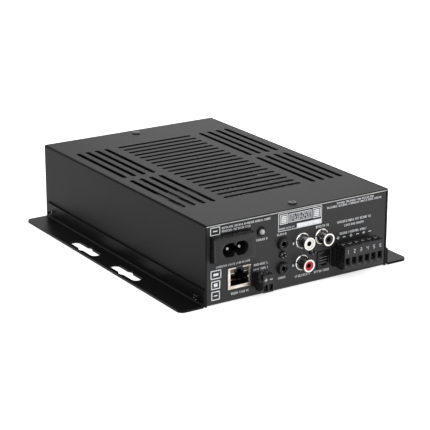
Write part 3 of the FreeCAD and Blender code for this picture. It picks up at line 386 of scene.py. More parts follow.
class Finishes:
    """Every finish on the amplifier: name, colour, shade, gloss, grain, relief and blotch, in that order."""

    panel_coat = PowderCoat("panel_black_coat", (0.0085, 0.0085, 0.0088), (0.0105, 0.0105, 0.0108), (0.38, 0.5),
                            specular=0.33)
    cover_coat = PowderCoat("cover_black_coat", (0.0062, 0.0062, 0.0066), (0.0078, 0.0078, 0.0082), (0.38, 0.5),
                            specular=0.08)
    # painted shade: near-black coat for strips on the cover's bends, standing in for the dark the bends reflect
    bend_shade_coat = PowderCoat("bend_painted_shade", (0.002, 0.002, 0.0022), (0.003, 0.003, 0.0032), (0.5, 0.6),
                           relief=0.01, specular=0.02)
    # painted shade: the brackets wear the case's black coat, set darker and duller here so they look shaded
    bracket_shaded_coat = PowderCoat("bracket_painted_shade_coat", (0.0026, 0.0026, 0.0029), (0.0036, 0.0036, 0.0038),
                              (0.3, 0.4), specular=0.07)
    # painted highlight: light bare metal for the strip under the cover's front end, where the panel's top bend
    # catches the light
    painted_edge_highlight = Metal("painted_edge_highlight", (0.46, 0.455, 0.45), (0.3, 0.3, 0.3), (0.3, 0.45), 0.3, 0.004, 5.0)
    black_screw = Finish("blackened_screw", (0.004, 0.004, 0.0045), (0.008, 0.008, 0.008), (0.14, 0.22), 0.2,
                         0.004, 2.0, specular=0.25)
    black_moulding = Finish("black_moulding", (0.0065, 0.0065, 0.0068), (0.009, 0.009, 0.0092), (0.2, 0.28),
                            0.2, 0.0012, specular=0.28)
    jack_moulding = Finish("jack_moulding", (0.003, 0.003, 0.0033), (0.0045, 0.0045, 0.0047), (0.16, 0.24),
                           0.2, 0.0012, specular=0.25)
    plug_moulding = Finish("plug_moulding", (0.0045, 0.0045, 0.005), (0.0065, 0.0065, 0.007), (0.24, 0.32),
                           0.25, 0.0015, specular=0.33)
    # painted shade: near-black finish inside holes, in the infrared jacks' mouths and at the flanges' stakes
    liner = Finish("painted_hollow_shade", (0.0015, 0.0015, 0.0015), (0.003, 0.003, 0.003), (0.4, 0.5), 0.2, 0.002, 2.0,
                   specular=0.15)
    nickel = Metal("bright_nickel", (0.76, 0.74, 0.7), (0.64, 0.62, 0.58), (0.12, 0.24), 0.15, 0.002, 3.0)
    shield_steel = Metal("shield_steel", (0.66, 0.61, 0.56), (0.4, 0.36, 0.32), (0.2, 0.36), 0.15, 0.003, 2.4)
    # painted reflections: near-black metal with pale streaks for the phono barrels, standing in for the dark
    # surroundings and light they mirror
    nickel_painted_reflections = Metal("nickel_painted_reflections", (0.03, 0.03, 0.032), (0.5, 0.49, 0.47), (0.08, 0.2), 0.6, 0.03, 1.5)
    tinned = Metal("tinned_steel", (0.5, 0.49, 0.47), (0.36, 0.35, 0.34), (0.22, 0.4), 0.12, 0.003, 4.0,
                   stretch=(1.0, 6.0, 6.0))
    plated_pin = Metal("plated_pin", (0.3, 0.29, 0.27), (0.16, 0.155, 0.15), (0.2, 0.34), 0.2, 0.002, 2.0)
    brass = Metal("brass", (0.62, 0.44, 0.17), (0.42, 0.28, 0.1), (0.22, 0.38), 0.2, 0.003, 3.0)
    bronze = Metal("spring_bronze", (0.6, 0.4, 0.2), (0.4, 0.25, 0.12), (0.2, 0.35), 0.2, 0.002, 2.0)
    aluminium = Metal("extruded_aluminium", (0.5, 0.5, 0.51), (0.4, 0.4, 0.41), (0.3, 0.45), 0.1, 0.004, 8.0,
                      stretch=(1.0, 0.05, 1.0))
    steel = Metal("zinc_steel", (0.78, 0.79, 0.81), (0.62, 0.63, 0.65), (0.2, 0.34), 0.2, 0.003, 2.0)
    white_plastic = Finish("white_insert", (0.78, 0.78, 0.76), (0.7, 0.7, 0.67), (0.25, 0.35), 0.2, 0.003, 3.0)
    red_plastic = Finish("red_insert", (0.55, 0.012, 0.02), (0.42, 0.008, 0.012), (0.22, 0.32), 0.2, 0.003, 3.0)
    black_plastic = Finish("black_insert", (0.006, 0.006, 0.006), (0.012, 0.012, 0.012), (0.22, 0.32), 0.2,
                           0.003, 3.0)
    lamp = Lens("lamp_lens", (0.66, 0.66, 0.66), (0.54, 0.54, 0.55), (0.05, 0.1), 0.3, 0.002, 2.0, clear=0.35)
    jack_lamp = Lens("jack_lamp", (0.035, 0.034, 0.026), (0.07, 0.066, 0.04), (0.1, 0.2), 0.3, 0.002, 2.0,
                     clear=0.02)
    bezel = Finish("lamp_bezel", (0.003, 0.003, 0.0033), (0.005, 0.005, 0.005), (0.16, 0.24), 0.2, 0.003, 2.0,
                   specular=0.2)
    laminate = Laminate("board_laminate", (0.012, 0.045, 0.02), (0.02, 0.085, 0.035), (0.28, 0.4), 0.2, 0.02, 5.0)
    tape = Wrapped("winding_tape", (0.78, 0.56, 0.05), (0.68, 0.46, 0.03), (0.25, 0.35), 0.2, 0.03, 5.0, turn=3.2)
    core = Finish("ferrite_core", (0.03, 0.03, 0.032), (0.05, 0.05, 0.052), (0.5, 0.65), 0.3, 0.02, 3.0)
    copper = Metal("enamelled_copper", (0.5, 0.17, 0.06), (0.4, 0.12, 0.04), (0.2, 0.32), 0.2, 0.004, 4.0)
    sleeve = Wrapped("can_sleeve", (0.014, 0.02, 0.05), (0.018, 0.026, 0.06), (0.2, 0.3), 0.3, 0.002, 6.0,
                     turn=40.0, seam=(0.5, 0.5, 0.48))
    film = Finish("film_case", (0.6, 0.46, 0.06), (0.5, 0.38, 0.05), (0.3, 0.4), 0.3, 0.005, 5.0)
    choke = Finish("choke_moulding", (0.02, 0.02, 0.022), (0.035, 0.035, 0.036), (0.4, 0.55), 0.3, 0.01, 3.0)
    chip = Finish("chip_moulding", (0.016, 0.016, 0.017), (0.024, 0.024, 0.024), (0.45, 0.6), 0.15, 0.006, 2.0)
    radio = Metal("screening_lid", (0.56, 0.56, 0.55), (0.46, 0.46, 0.45), (0.2, 0.34), 0.2, 0.003, 4.0)
    ink = Finish("white_ink", (0.76, 0.77, 0.79), (0.62, 0.63, 0.66), (0.5, 0.6), 0.15, 0.004, 1.5)
    plug_ink = Finish("plug_ink", (0.58, 0.6, 0.64), (0.46, 0.48, 0.52), (0.5, 0.6), 0.15, 0.004, 1.5)
    # painted highlight: a light, dull finish for the glint marks on screw heads
    painted_glint = Finish("painted_glint", (0.6, 0.6, 0.61), (0.4, 0.4, 0.4), (0.3, 0.4), 0.2, 0.002, 0.8)
    # painted highlight: paler grey for the ribs on the black flap
    rib = Finish("flap_rib", (0.1, 0.1, 0.105), (0.16, 0.16, 0.16), (0.3, 0.4), 0.2, 0.004, 1.5)
    ceramic = Finish("small_parts", (0.34, 0.26, 0.17), (0.1, 0.09, 0.08), (0.35, 0.5), 0.3, 0.004, 4.0)


NODE_FINISHES: dict[Finish, tuple[str, ...]] = {
    Finishes.panel_coat: ("base_tray",),
    Finishes.cover_coat: ("top_cover",),
    Finishes.bracket_shaded_coat: ("left_bracket", "right_bracket"),
    Finishes.plated_pin: ("inlet_pins",),
    Finishes.jack_moulding: ("network_jack_insert", "optical_shutter"),
    Finishes.jack_lamp: ("network_jack_lamps",),
    Finishes.black_moulding: ("phono_jack_block", "speaker_header", "trigger_header", "board_link"),
    Finishes.bronze: ("jack_contacts",),
    Finishes.chip: ("optical_receiver", "amplifier_chips"),
    Finishes.tinned: ("header_pins", "speaker_plug_contacts", "trigger_plug_contacts"),
    Finishes.laminate: ("main_board", "power_board"),
    Finishes.brass: ("board_standoffs",),
    Finishes.aluminium: ("heat_sink",),
    Finishes.choke: ("output_coils",),
    Finishes.sleeve: ("filter_capacitors",),
    Finishes.core: ("transformer",),
    Finishes.film: ("mains_capacitor",),
    Finishes.radio: ("wireless_module",),
}


class Shape:
    """A mesh while it is drawn, in millimetres."""

    def __init__(self) -> None:
        """Start with nothing."""
        self.body = bmesh.new()

    def block(self, low: Place, high: Place, soften: float) -> "Shape":
        """Add a box between two corners.

        Args:
            low: lowest corner.
            high: highest corner.
            soften: width of the rounding on every edge.

        Returns:
            This shape.
        """
        corners = bmesh.ops.create_cube(self.body, size=1.0)["verts"]
        for corner in corners:
            corner.co = Vector([a + (part + 0.5) * (b - a) for part, a, b in zip(corner.co, low, high)])
        edges = list({edge for corner in corners for edge in corner.link_edges})
        bmesh.ops.bevel(self.body, geom=edges, offset=soften, segments=2, profile=0.5, affect="EDGES")
        return self

    def turned(self, profile: Section, centre: Place, way: Way = Way.OUT, steps: int = 48,
               ring: bool = False) -> "Shape":
        """Add a turned form.

        Args:
            profile: radius and distance along the axis of each point, from one end to the other.
            centre: where distance 0 is.
            way: the axis, pointing out of the surface.
            steps: sides round the axis.
            ring: whether the last point joins the first, as in a hollow ring.

        Returns:
            This shape.
        """
        seat = way.seat(centre)
        rings = []
        for radius, along in profile:
            turns = [math.tau * step / steps for step in range(steps if radius > 1e-6 else 1)]
            spots = [Vector((radius * math.cos(turn), radius * math.sin(turn), along)) for turn in turns]
            rings.append([self.body.verts.new(seat @ spot) for spot in spots])
        pairs = list(zip(rings, rings[1:]))
        if ring:
            pairs.append((rings[-1], rings[0]))
        for lower, upper in pairs:
            for step in range(steps):
                ahead = (step + 1) % steps
                corners = [lower[step % len(lower)], lower[ahead % len(lower)],
                           upper[ahead % len(upper)], upper[step % len(upper)]]
                distinct = list(dict.fromkeys(corners))
                if len(distinct) > 2:
                    self.body.faces.new(distinct)
        return self

    def rings(self, section: Section, places: list[Place], steps: int = 48) -> "Shape":
        """Add the same hollow ring at several places on the panel.

        Args:
            section: radius and distance in front of the panel of each point, round the section.
            places: where distance 0 is, for each ring.
            steps: sides round the axis.

        Returns:
            This shape.
        """
        for place in places:
            self.turned(section, place, steps=steps, ring=True)
        return self

    def plate(self, outlines: list[list[Flat]], thickness: float, centre: Place, soften: float) -> "Shape":
        """Add a flat or deep plate that looks out of the panel, with holes through it.

        Args:
            outlines: closed outlines, the outer one first.
            thickness: how far it reaches back from its face.
            centre: where the outlines' origin lies on its face.
            soften: rounding of the edges of its face and back.

        Returns:
            This shape.
        """
        curve = bpy.data.curves.new("outline", "CURVE")
        curve.dimensions = "2D"
        curve.fill_mode = "BOTH"
        for outline in outlines:
            line = curve.splines.new("POLY")
            line.points.add(len(outline) - 1)
            for point, (across, up) in zip(line.points, outline):
                point.co = (across, up, 0.0, 1.0)
            line.use_cyclic_u = True
        curve.extrude = thickness / 2 - soften
        curve.bevel_depth = soften
        curve.bevel_resolution = 1
        curve.offset = -soften
        carrier = bpy.data.objects.new("outline", curve)
        mesh = bpy.data.meshes.new_from_object(carrier)
        mesh.transform(Way.OUT.seat(centre) @ Matrix.Translation((0.0, 0.0, -thickness / 2)))
        self.body.from_mesh(mesh)
        bpy.data.objects.remove(carrier)
        bpy.data.curves.remove(curve)
        bpy.data.meshes.remove(mesh)
        return self

    def made(self, name: str, finish: Finish) -> bpy.types.Object:
        """Turn the drawing into an object in metres.

        Args:
            name: the piece's name.
            finish: its finish.

        Returns:
            The new object.
        """
        bmesh.ops.remove_doubles(self.body, verts=self.body.verts, dist=0.0005)
        bmesh.ops.recalc_face_normals(self.body, faces=self.body.faces)
        self.body.transform(Matrix.Scale(MM, 4))
        return in_scene(name, plain_mesh(name, self.body, finish))


def plain_mesh(name: str, body: bmesh.types.BMesh, finish: Finish) -> bpy.types.Mesh:
    """Close a drawing and keep its mesh.

    Args:
        name: the mesh's name.
        body: the drawing.
        finish: its finish.

    Returns:
        The mesh.
    """
    mesh = bpy.data.meshes.new(name)
    body.to_mesh(mesh)
    body.free()
    mesh.materials.append(finish.material())
    return mesh


def in_scene(name: str, mesh: bpy.types.Mesh) -> bpy.types.Object:
    """Put a mesh in the scene, smooth except at its creases.

    Args:
        name: the object's name.
        mesh: its mesh, in metres.

    Returns:
        The new object.
    """
    mesh.shade_smooth()
    mesh.set_sharp_from_angle(angle=CREASE)
    piece = bpy.data.objects.new(name, mesh)
    bpy.context.scene.collection.objects.link(piece)
    return piece


def placed(piece: bpy.types.Object, slot: str, *nodes: str, body: str = Body.CHASSIS.value) -> None:
    """Tie a finished piece to the frame.

    Args:
        piece: the piece.
        slot: the record's material slot that it belongs to; not used.
        nodes: the nodes that it stands for.
        body: the frame's body that it rides on.
    """
    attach(piece, body)
    if nodes:
        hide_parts(*nodes)
    LOG.info("%s rides on %s and stands for %s", piece.name, body, ", ".join(nodes) or "no node")


def coat(node: str, finish: Finish) -> None:
    """Give a carried node its finish.

    Args:
        node: the node.
        finish: the finish.
    """
    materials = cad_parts[node].data.materials
    materials.clear()
    materials.append(finish.material())


def merged(node: str) -> bmesh.types.BMesh:
    """Copy a node's mesh.

    Args:
        node: the node.

    Returns:
        The copy, with its loose triangles joined.
    """
    body = bmesh.new()
    body.from_mesh(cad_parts[node].data)
    bmesh.ops.remove_doubles(body, verts=body.verts, dist=1e-6)
    return body


def softened(node: str, finish: Finish, width: float) -> bpy.types.Object:
    """A copy of a node with its sharp edges rounded.

    Args:
        node: the node.
        finish: the copy's finish.
        width: width of the rounding, in millimetres.

    Returns:
        The rounded copy.
    """
    body = merged(node)
    bmesh.ops.dissolve_limit(body, angle_limit=math.radians(0.5), verts=body.verts, edges=body.edges)
    turned = [edge for edge in body.edges if edge.is_manifold]
    sharp = [edge for edge in turned if abs(edge.calc_face_angle_signed(0.0)) > SHARP]
    bmesh.ops.bevel(body, geom=sharp, offset=width * MM, segments=2, profile=0.5, affect="EDGES",
                    clamp_overlap=True)
    return in_scene(node + "_soft", plain_mesh(node + "_soft", body, finish))


def solids_of(node: str) -> list[Solid]:
    """Boxes of a node's separate solids.

    Args:
        node: the node.

    Returns:
        Lowest and highest corner of each solid, in millimetres, from left to right and near to far.
    """
    body = merged(node)
    found, seen = [], set()
    for first in body.verts:
        if first in seen:
            continue
        seen.add(first)
        group = [first]
        for corner in group:
            for edge in corner.link_edges:
                other = edge.other_vert(corner)
                if other not in seen:
                    seen.add(other)
                    group.append(other)
        axes = [[corner.co[axis] / MM for corner in group] for axis in range(3)]
        found.append((Vector([min(axis) for axis in axes]), Vector([max(axis) for axis in axes])))
    body.free()
    return sorted(found, key=lambda box: (round(box[0].x, 2), round(box[0].y, 2), round(box[0].z, 2)))


def rounded_box(width: float, tall: float, radius: float, steps: int = 5) -> list[Flat]:
    """Outline of a rectangle with round corners.

    Args:
        width: its width.
        tall: its height.
        radius: its corners' radius.
        steps: straight pieces in each corner.

    Returns:
        The outline, about its centre.
    """
    outline = []
    for number, (side, rise) in enumerate(((1, 1), (-1, 1), (-1, -1), (1, -1))):
        middle = (side * (width / 2 - radius), rise * (tall / 2 - radius))
        for step in range(steps + 1):
            turn = math.pi / 2 * (number + step / steps)
            outline.append((middle[0] + radius * math.cos(turn), middle[1] + radius * math.sin(turn)))
    return outline


@dataclass
class Seat:
    """Where one repeated piece stands, which way it looks, and how far it is turned and stretched."""

    place: Place
    aim: Way = Way.UP
    turn: float = 0.0
    size: Place = (1.0, 1.0, 1.0)


class Pattern(Tree):
    """A Geometry Nodes tree that sets one drawn piece on every seat."""

    prefix: str = "GeometryNode"

    def __init__(self, name: str, sizes: dict[str, float]) -> None:
        """Start a tree.

        Args:
            name: the tree's name.
            sizes: its inputs and their defaults, in millimetres.
        """
        super().__init__(bpy.data.node_groups.new(name, "GeometryNodeTree"))
        face = self.tree.interface
        face.new_socket("Geometry", in_out="INPUT", socket_type="NodeSocketGeometry")
        for label, value in sizes.items():
            face.new_socket(label, in_out="INPUT", socket_type="NodeSocketFloat").default_value = value * MM
        face.new_socket("Finish", in_out="INPUT", socket_type="NodeSocketMaterial")
        face.new_socket("Geometry", in_out="OUTPUT", socket_type="NodeSocketGeometry")
        self.source = self.add("NodeGroupInput")
        self.result = self.add("NodeGroupOutput")

    def given(self, label: str) -> Socket:
        """One of the tree's inputs."""
        return self.source.outputs[label]

    def stored(self, label: str, kind: str) -> Socket:
        """One of the seats' own values."""
        return self.out("InputNamedAttribute", {"Name": label}, data_type=kind)

    def spot(self, x: Feed = 0.0, y: Feed = 0.0, z: Feed = 0.0) -> Socket:
        """A vector from its parts."""
        return self.out("ShaderNodeCombineXYZ", {0: x, 1: y, 2: z})

    def box(self, x: Feed, y: Feed, z: Feed, at: Socket) -> Socket:
        """A box of a size, with its middle at a place."""
        cube = self.out("MeshCube", {"Size": self.spot(x, y, z)})
        return self.out("Transform", {"Geometry": cube, "Translation": at})

    def close(self, drawn: Socket) -> "Pattern":
        """Set the drawn piece on every seat, and end the tree.

        Args:
            drawn: the piece, facing +Z with its seat at the origin.

        Returns:
            This tree.
        """
        facing = self.out("FunctionNodeAlignRotationToVector", {"Vector": self.stored("aim", "FLOAT_VECTOR")},
                          axis="Z")
        turn = self.out("FunctionNodeAxisAngleToRotation",
                        {"Axis": (0.0, 0.0, 1.0), "Angle": self.stored("turn", "FLOAT")})
        turned = self.out("FunctionNodeRotateRotation", {0: facing, 1: turn}, rotation_space="LOCAL")
        feeds = {"Points": self.given("Geometry"), "Instance": drawn, "Rotation": turned,
                 "Scale": self.stored("size", "FLOAT_VECTOR")}
        real = self.out("RealizeInstances", {"Geometry": self.out("InstanceOnPoints", feeds)})
        dressed = self.out("SetMaterial", {"Geometry": real, "Material": self.given("Finish")})
        self.feed(self.result.inputs[0], dressed)
        return self

    def grown(self, name: str, seats: list[Seat], finish: Finish, sizes: dict[str, float]) -> bpy.types.Object:
        """Run the tree on seats and keep the plain mesh.

        Args:
            name: the new piece's name.
            seats: where the pieces stand, in millimetres.
            finish: their finish.
            sizes: the tree's inputs, in millimetres.

        Returns:
            The new object.
        """
        points = bpy.data.meshes.new(name + "_seats")
        points.from_pydata([tuple(MM * part for part in seat.place) for seat in seats], [], [])
        for entry, seat in zip(points.attributes.new("turn", "FLOAT", "POINT").data, seats):
            entry.value = seat.turn
        for entry, seat in zip(points.attributes.new("aim", "FLOAT_VECTOR", "POINT").data, seats):
            entry.vector = seat.aim.value
        for entry, seat in zip(points.attributes.new("size", "FLOAT_VECTOR", "POINT").data, seats):
            entry.vector = seat.size
        carrier = bpy.data.objects.new(name + "_seats", points)
        bpy.context.scene.collection.objects.link(carrier)
        grower = carrier.modifiers.new("pattern", "NODES")
        grower.node_group = self.tree
        inputs = {label: size * MM for label, size in sizes.items()} | {"Finish": finish.material()}
        for item in self.tree.interface.items_tree:
            if item.in_out == "INPUT" and item.name in inputs:
                grower[item.identifier] = inputs[item.name]
        whole = carrier.evaluated_get(bpy.context.evaluated_depsgraph_get())
        mesh = bpy.data.meshes.new_from_object(whole)
        mesh.name = name
        carrier.modifiers.clear()
        bpy.data.objects.remove(carrier)
        bpy.data.meshes.remove(points)
        return in_scene(name, mesh)


@dataclass(frozen=True)
class ScrewSizes:
    """Sizes of one kind of screw, whose recess is a cross, or a slot where its second arm is a slot's width."""

    head_radius: float = 2.8
    head_height: float = 1.9
    arm: float = 3.3
    second_arm: float = 3.3
    arm_width: float = 0.75
    recess_depth: float = 1.2
    shank_radius: float = 1.5
    shank_length: float = 6.0
    thread_pitch: float = 0.5

    def inputs(self) -> dict[str, float]:
        """The sizes under the names of the tree's inputs."""
        return {name.replace("_", " ").capitalize(): size for name, size in asdict(self).items()}


@cache
def screw_pattern(dome: float = -0.55, brow: float = 0.62, ridge: float = 0.05) -> Pattern:
    """Domed screws with a driver recess and a threaded shank.

    Args:
        dome: power of the distance from the axis, which widens the head.
        brow: power of the height, which fills the head out to its rim.
        ridge: height of the thread, as a share of the shank's radius.

    Returns:
        The tree.
    """
    pattern = Pattern("screws", ScrewSizes().inputs())
    calc, times, given = pattern.calc, pattern.times, pattern.given
    x, y, z = pattern.add("ShaderNodeSeparateXYZ", {0: pattern.out("InputPosition")}).outputs
    out = calc("SQRT", calc("ADD", times(x, x), times(y, y)))
    wide = times(calc("POWER", calc("MAXIMUM", out, 0.001), dome), given("Head radius"))
    high = times(calc("POWER", calc("MAXIMUM", z, 0.0), brow), given("Head height"))
    domed = pattern.spot(times(x, wide), times(y, wide), high)
    ball = pattern.out("MeshUVSphere", {"Segments": 32, "Rings": 20, "Radius": 1.0})
    head = pattern.out("SetPosition", {"Geometry": ball, "Position": domed})
    deep, top = times(given("Recess depth"), 2.0), pattern.spot(z=given("Head height"))
    arms = [pattern.box(given("Arm"), given("Arm width"), deep, top),
            pattern.box(given("Arm width"), given("Second arm"), deep, top)]
    driven = pattern.out("MeshBoolean", {"Mesh 1": head, "Mesh 2": arms}, operation="DIFFERENCE")
    rod = pattern.out("MeshCylinder", {"Vertices": 20, "Side Segments": 32, "Radius": given("Shank radius"),
                                       "Depth": given("Shank length")})
    turns = times(calc("DIVIDE", z, given("Thread pitch")), math.tau)
    slim = calc("SUBTRACT", 0.94, times(calc("SINE", turns), ridge))
    thread = pattern.spot(times(x, slim), times(y, slim), z)
    ridged = pattern.out("SetPosition", {"Geometry": rod, "Position": thread})
    drop = pattern.spot(z=times(given("Shank length"), -0.495))
    shank = pattern.out("Transform", {"Geometry": ridged, "Translation": drop})
    return pattern.close(pattern.out("JoinGeometry", {"Geometry": [driven, shank]}))


@cache
def bar_pattern() -> Pattern:
    """Flat bars of printed ink, lying on the surface.

    Returns:
        The tree. Each seat's size gives its bar's length and height.
    """
    pattern = Pattern("ink_bars", {"Ink": 0.05})
    thick = pattern.given("Ink")
    return pattern.close(pattern.box(MM, MM, thick, pattern.spot(z=pattern.times(thick, 0.5))))


def finger_pattern() -> Pattern:
    """Curled strip springs.

    Returns:
        The tree. Each spring leaves its seat along -Y and rises to a curled tip.
    """
    pattern = Pattern("fingers", {"Reach": 8.0, "Rise": 1.6, "Width": 0.46, "Thickness": 0.2})
    reach, rise = pattern.given("Reach"), pattern.given("Rise")
    points = {"Start": (0.0, 0.0, 0.0), "Middle": pattern.spot(y=pattern.times(reach, -0.5), z=rise),
              "End": pattern.spot(y=pattern.times(reach, -1.0), z=pattern.times(rise, 0.6)), "Resolution": 10}
    sides = {"Width": pattern.given("Thickness"), "Height": pattern.given("Width")}
    feeds = {"Curve": pattern.out("CurveQuadraticBezier", points),
             "Profile Curve": pattern.out("CurvePrimitiveQuadrilateral", sides), "Fill Caps": True}
    return pattern.close(pattern.out("CurveToMesh", feeds))


def ring_pattern() -> Pattern:
    """Single turns of round wire.

    Returns:
        The tree.
    """
    pattern = Pattern("wire_turns", {"Turn radius": 5.0, "Wire": 0.9})
    turn = {"Resolution": 28, "Radius": pattern.given("Turn radius")}
    wire = {"Resolution": 6, "Radius": pattern.times(pattern.given("Wire"), 0.5)}
    feeds = {"Curve": pattern.out("CurvePrimitiveCircle", turn),
             "Profile Curve": pattern.out("CurvePrimitiveCircle", wire)}
    return pattern.close(pattern.out("CurveToMesh", feeds))


def part_pattern(ends: bool) -> Pattern:
    """Small board parts: moulded bodies, or the plated caps on their ends, a shade larger.

    Args:
        ends: whether it makes the caps.

    Returns:
        The tree. Each seat's size gives its part's length, width and height.
    """
    pattern = Pattern("part_caps" if ends else "part_bodies", {"Cap": 0.22})
    cap = pattern.given("Cap")
    if not ends:
        return pattern.close(pattern.box(pattern.calc("SUBTRACT", MM, cap), MM, MM, pattern.spot(z=0.5 * MM)))
    shift, side = pattern.calc("SUBTRACT", 0.5 * MM, pattern.times(cap, 0.5)), 1.04 * MM
    boxes = [pattern.box(cap, side, side, pattern.spot(x=place, z=side / 2))
             for place in (shift, pattern.times(shift, -1.0))]
    return pattern.close(pattern.out("JoinGeometry", {"Geometry": boxes}))


def inked(name: str, seats: list[Seat], finish: Finish, slot: str, ink: float = 0.05,
          body: str = Body.CHASSIS.value) -> None:
    """Lay flat bars on a surface.

    Args:
        name: the new piece's name.
        seats: the bars' seats.
        finish: their finish.
        slot: the record's material slot that they belong to.
        ink: how proud they stand.
        body: the frame's body that they ride on.
    """
    placed(bar_pattern().grown(name, seats, finish, {"Ink": ink}), slot, body=body)


@dataclass
class CaseScrews:
    """Black screws in the brackets, the cover and the panel, with painted glints: light marks at the ends of their
    recesses.

    Spots hold how far over the seat a screw's painted glints lie, and their distance from its axis.
    """

    bracket_x: float = 70.5
    bracket_z: float = 5.6
    bracket_y: Flat = (-98.15, 94.65)
    cover_y: Flat = (-96.55, 96.55)
    cover_z: float = 52.0
    panel: tuple[Flat, Flat] = ((-12.499, 23.0), (10.302, 21.0))
    panel_y: float = -104.35
    bracket_screw: ScrewSizes = ScrewSizes()
    cover_screw: ScrewSizes = ScrewSizes(head_radius=2.9, head_height=0.95, recess_depth=0.6, shank_length=4.0)
    panel_screw: ScrewSizes = ScrewSizes(head_radius=2.55, head_height=1.75, arm=3.0, second_arm=3.0,
                                         arm_width=0.7, recess_depth=1.1, shank_radius=1.2, thread_pitch=0.4)
    bracket_spots: Flat = (1.86, 1.6)
    cover_spots: Flat = (0.92, 1.7)
    panel_spots: Flat = (1.7, 1.55)
    spot: Flat = (0.55, 0.32)
    spot_turn: float = 0.3
    turn: float = 0.35
    turn_step: float = 0.6
    panel_turn: float = 0.8

    def build(self) -> None:
        """Make the screws and their painted glints."""
        sides = [Seat((way.value[0] * self.bracket_x, y, self.bracket_z), way, self.turn + self.turn_step * number)
                 for way in (Way.LEFT, Way.RIGHT) for number, y in enumerate(self.bracket_y)]
        lids = [Seat((0.0, y, self.cover_z), Way.UP, self.turn) for y in self.cover_y]
        face = [Seat((x, self.panel_y, z), Way.OUT, self.panel_turn) for x, z in self.panel]
        glints = []
        for node, seats, sizes, spots in (("bracket_screws", sides, self.bracket_screw, self.bracket_spots),
                                          ("cover_screws", lids, self.cover_screw, self.cover_spots),
                                          ("panel_screws", face, self.panel_screw, self.panel_spots)):
            piece = screw_pattern().grown(node + "_dressed", seats, Finishes.black_screw, sizes.inputs())
            placed(piece, "black_screw", node)
            glints += [spot for seat in seats for spot in self.bared(seat, *spots)]
        # painted glints: light flat marks on the screw heads
        inked("screw_glints", glints, Finishes.painted_glint, "black_screw")

    def bared(self, screw: Seat, lift: float, reach: float) -> list[Seat]:
        """Painted glints: light marks at the ends of a screw's cross.

        Args:
            screw: the screw's seat.
            lift: how far over the seat they lie.
            reach: their distance from the axis.

        Returns:
            The spots' seats.
        """
        spots = []
        for number in range(4):
            angle = screw.turn + math.pi / 2 * number + self.spot_turn
            spot = Vector((reach * math.cos(angle), reach * math.sin(angle), lift))
            place = screw.aim.turn() @ spot + Vector(screw.place)
            spots.append(Seat(tuple(place), screw.aim, angle, (*self.spot, 1.0)))
        return spots


@dataclass
class MainsInlet:
    """Two-pole inlet: a moulded block with a figure-eight mouth."""

    x: float = -50.8
    z: float = 36.0
    width: float = 28.4
    tall: float = 16.6
    face: float = -110.5
    back: float = -90.35
    floor: float = 3.0
    corner: float = 1.2
    lobe: float = 4.4
    spacing: float = 9.6
    aside: float = -0.4
    waist: float = 3.6
    notch: float = 1.2
    square: float = 1.5
    chamfer: float = 0.3
    soften: float = 0.12
    inset: float = 0.2
    overlap: float = 0.3

    def mouth(self) -> list[Flat]:
        """Outline of the mouth: round at its far sides, square towards its notched waist.

        Returns:
            The outline, about the inlet's centre.
        """
        half = self.spacing / 2
        arc = [(half + self.lobe * math.cos(math.radians(a)), self.lobe * math.sin(math.radians(a)))
               for a in range(90, -91, -9)]
        top_side = [(0.0, self.waist / 2), (self.notch, self.lobe - self.chamfer), (self.square, self.lobe)]
        right = top_side + arc + [(across, -up) for across, up in reversed(top_side)]
        left = [(-across, -up) for across, up in right[1:-1]]
        return [(across + self.aside, up) for across, up in right + left]

    def build(self) -> None:
        """Make the block, and the floor behind its mouth."""
        floor_at = self.back - self.floor
        half, rise = self.width / 2 - self.inset, self.tall / 2 - self.inset
        shape = Shape().plate([rounded_box(self.width, self.tall, self.corner), self.mouth()],
                              floor_at - self.face, (self.x, self.face, self.z), self.soften)
        shape.block((self.x - half, floor_at - self.overlap, self.z - rise),
                    (self.x + half, self.back, self.z + rise), self.inset)
        placed(shape.made("inlet_body_dressed", Finishes.black_moulding), "inlet_moulding", "inlet_body")


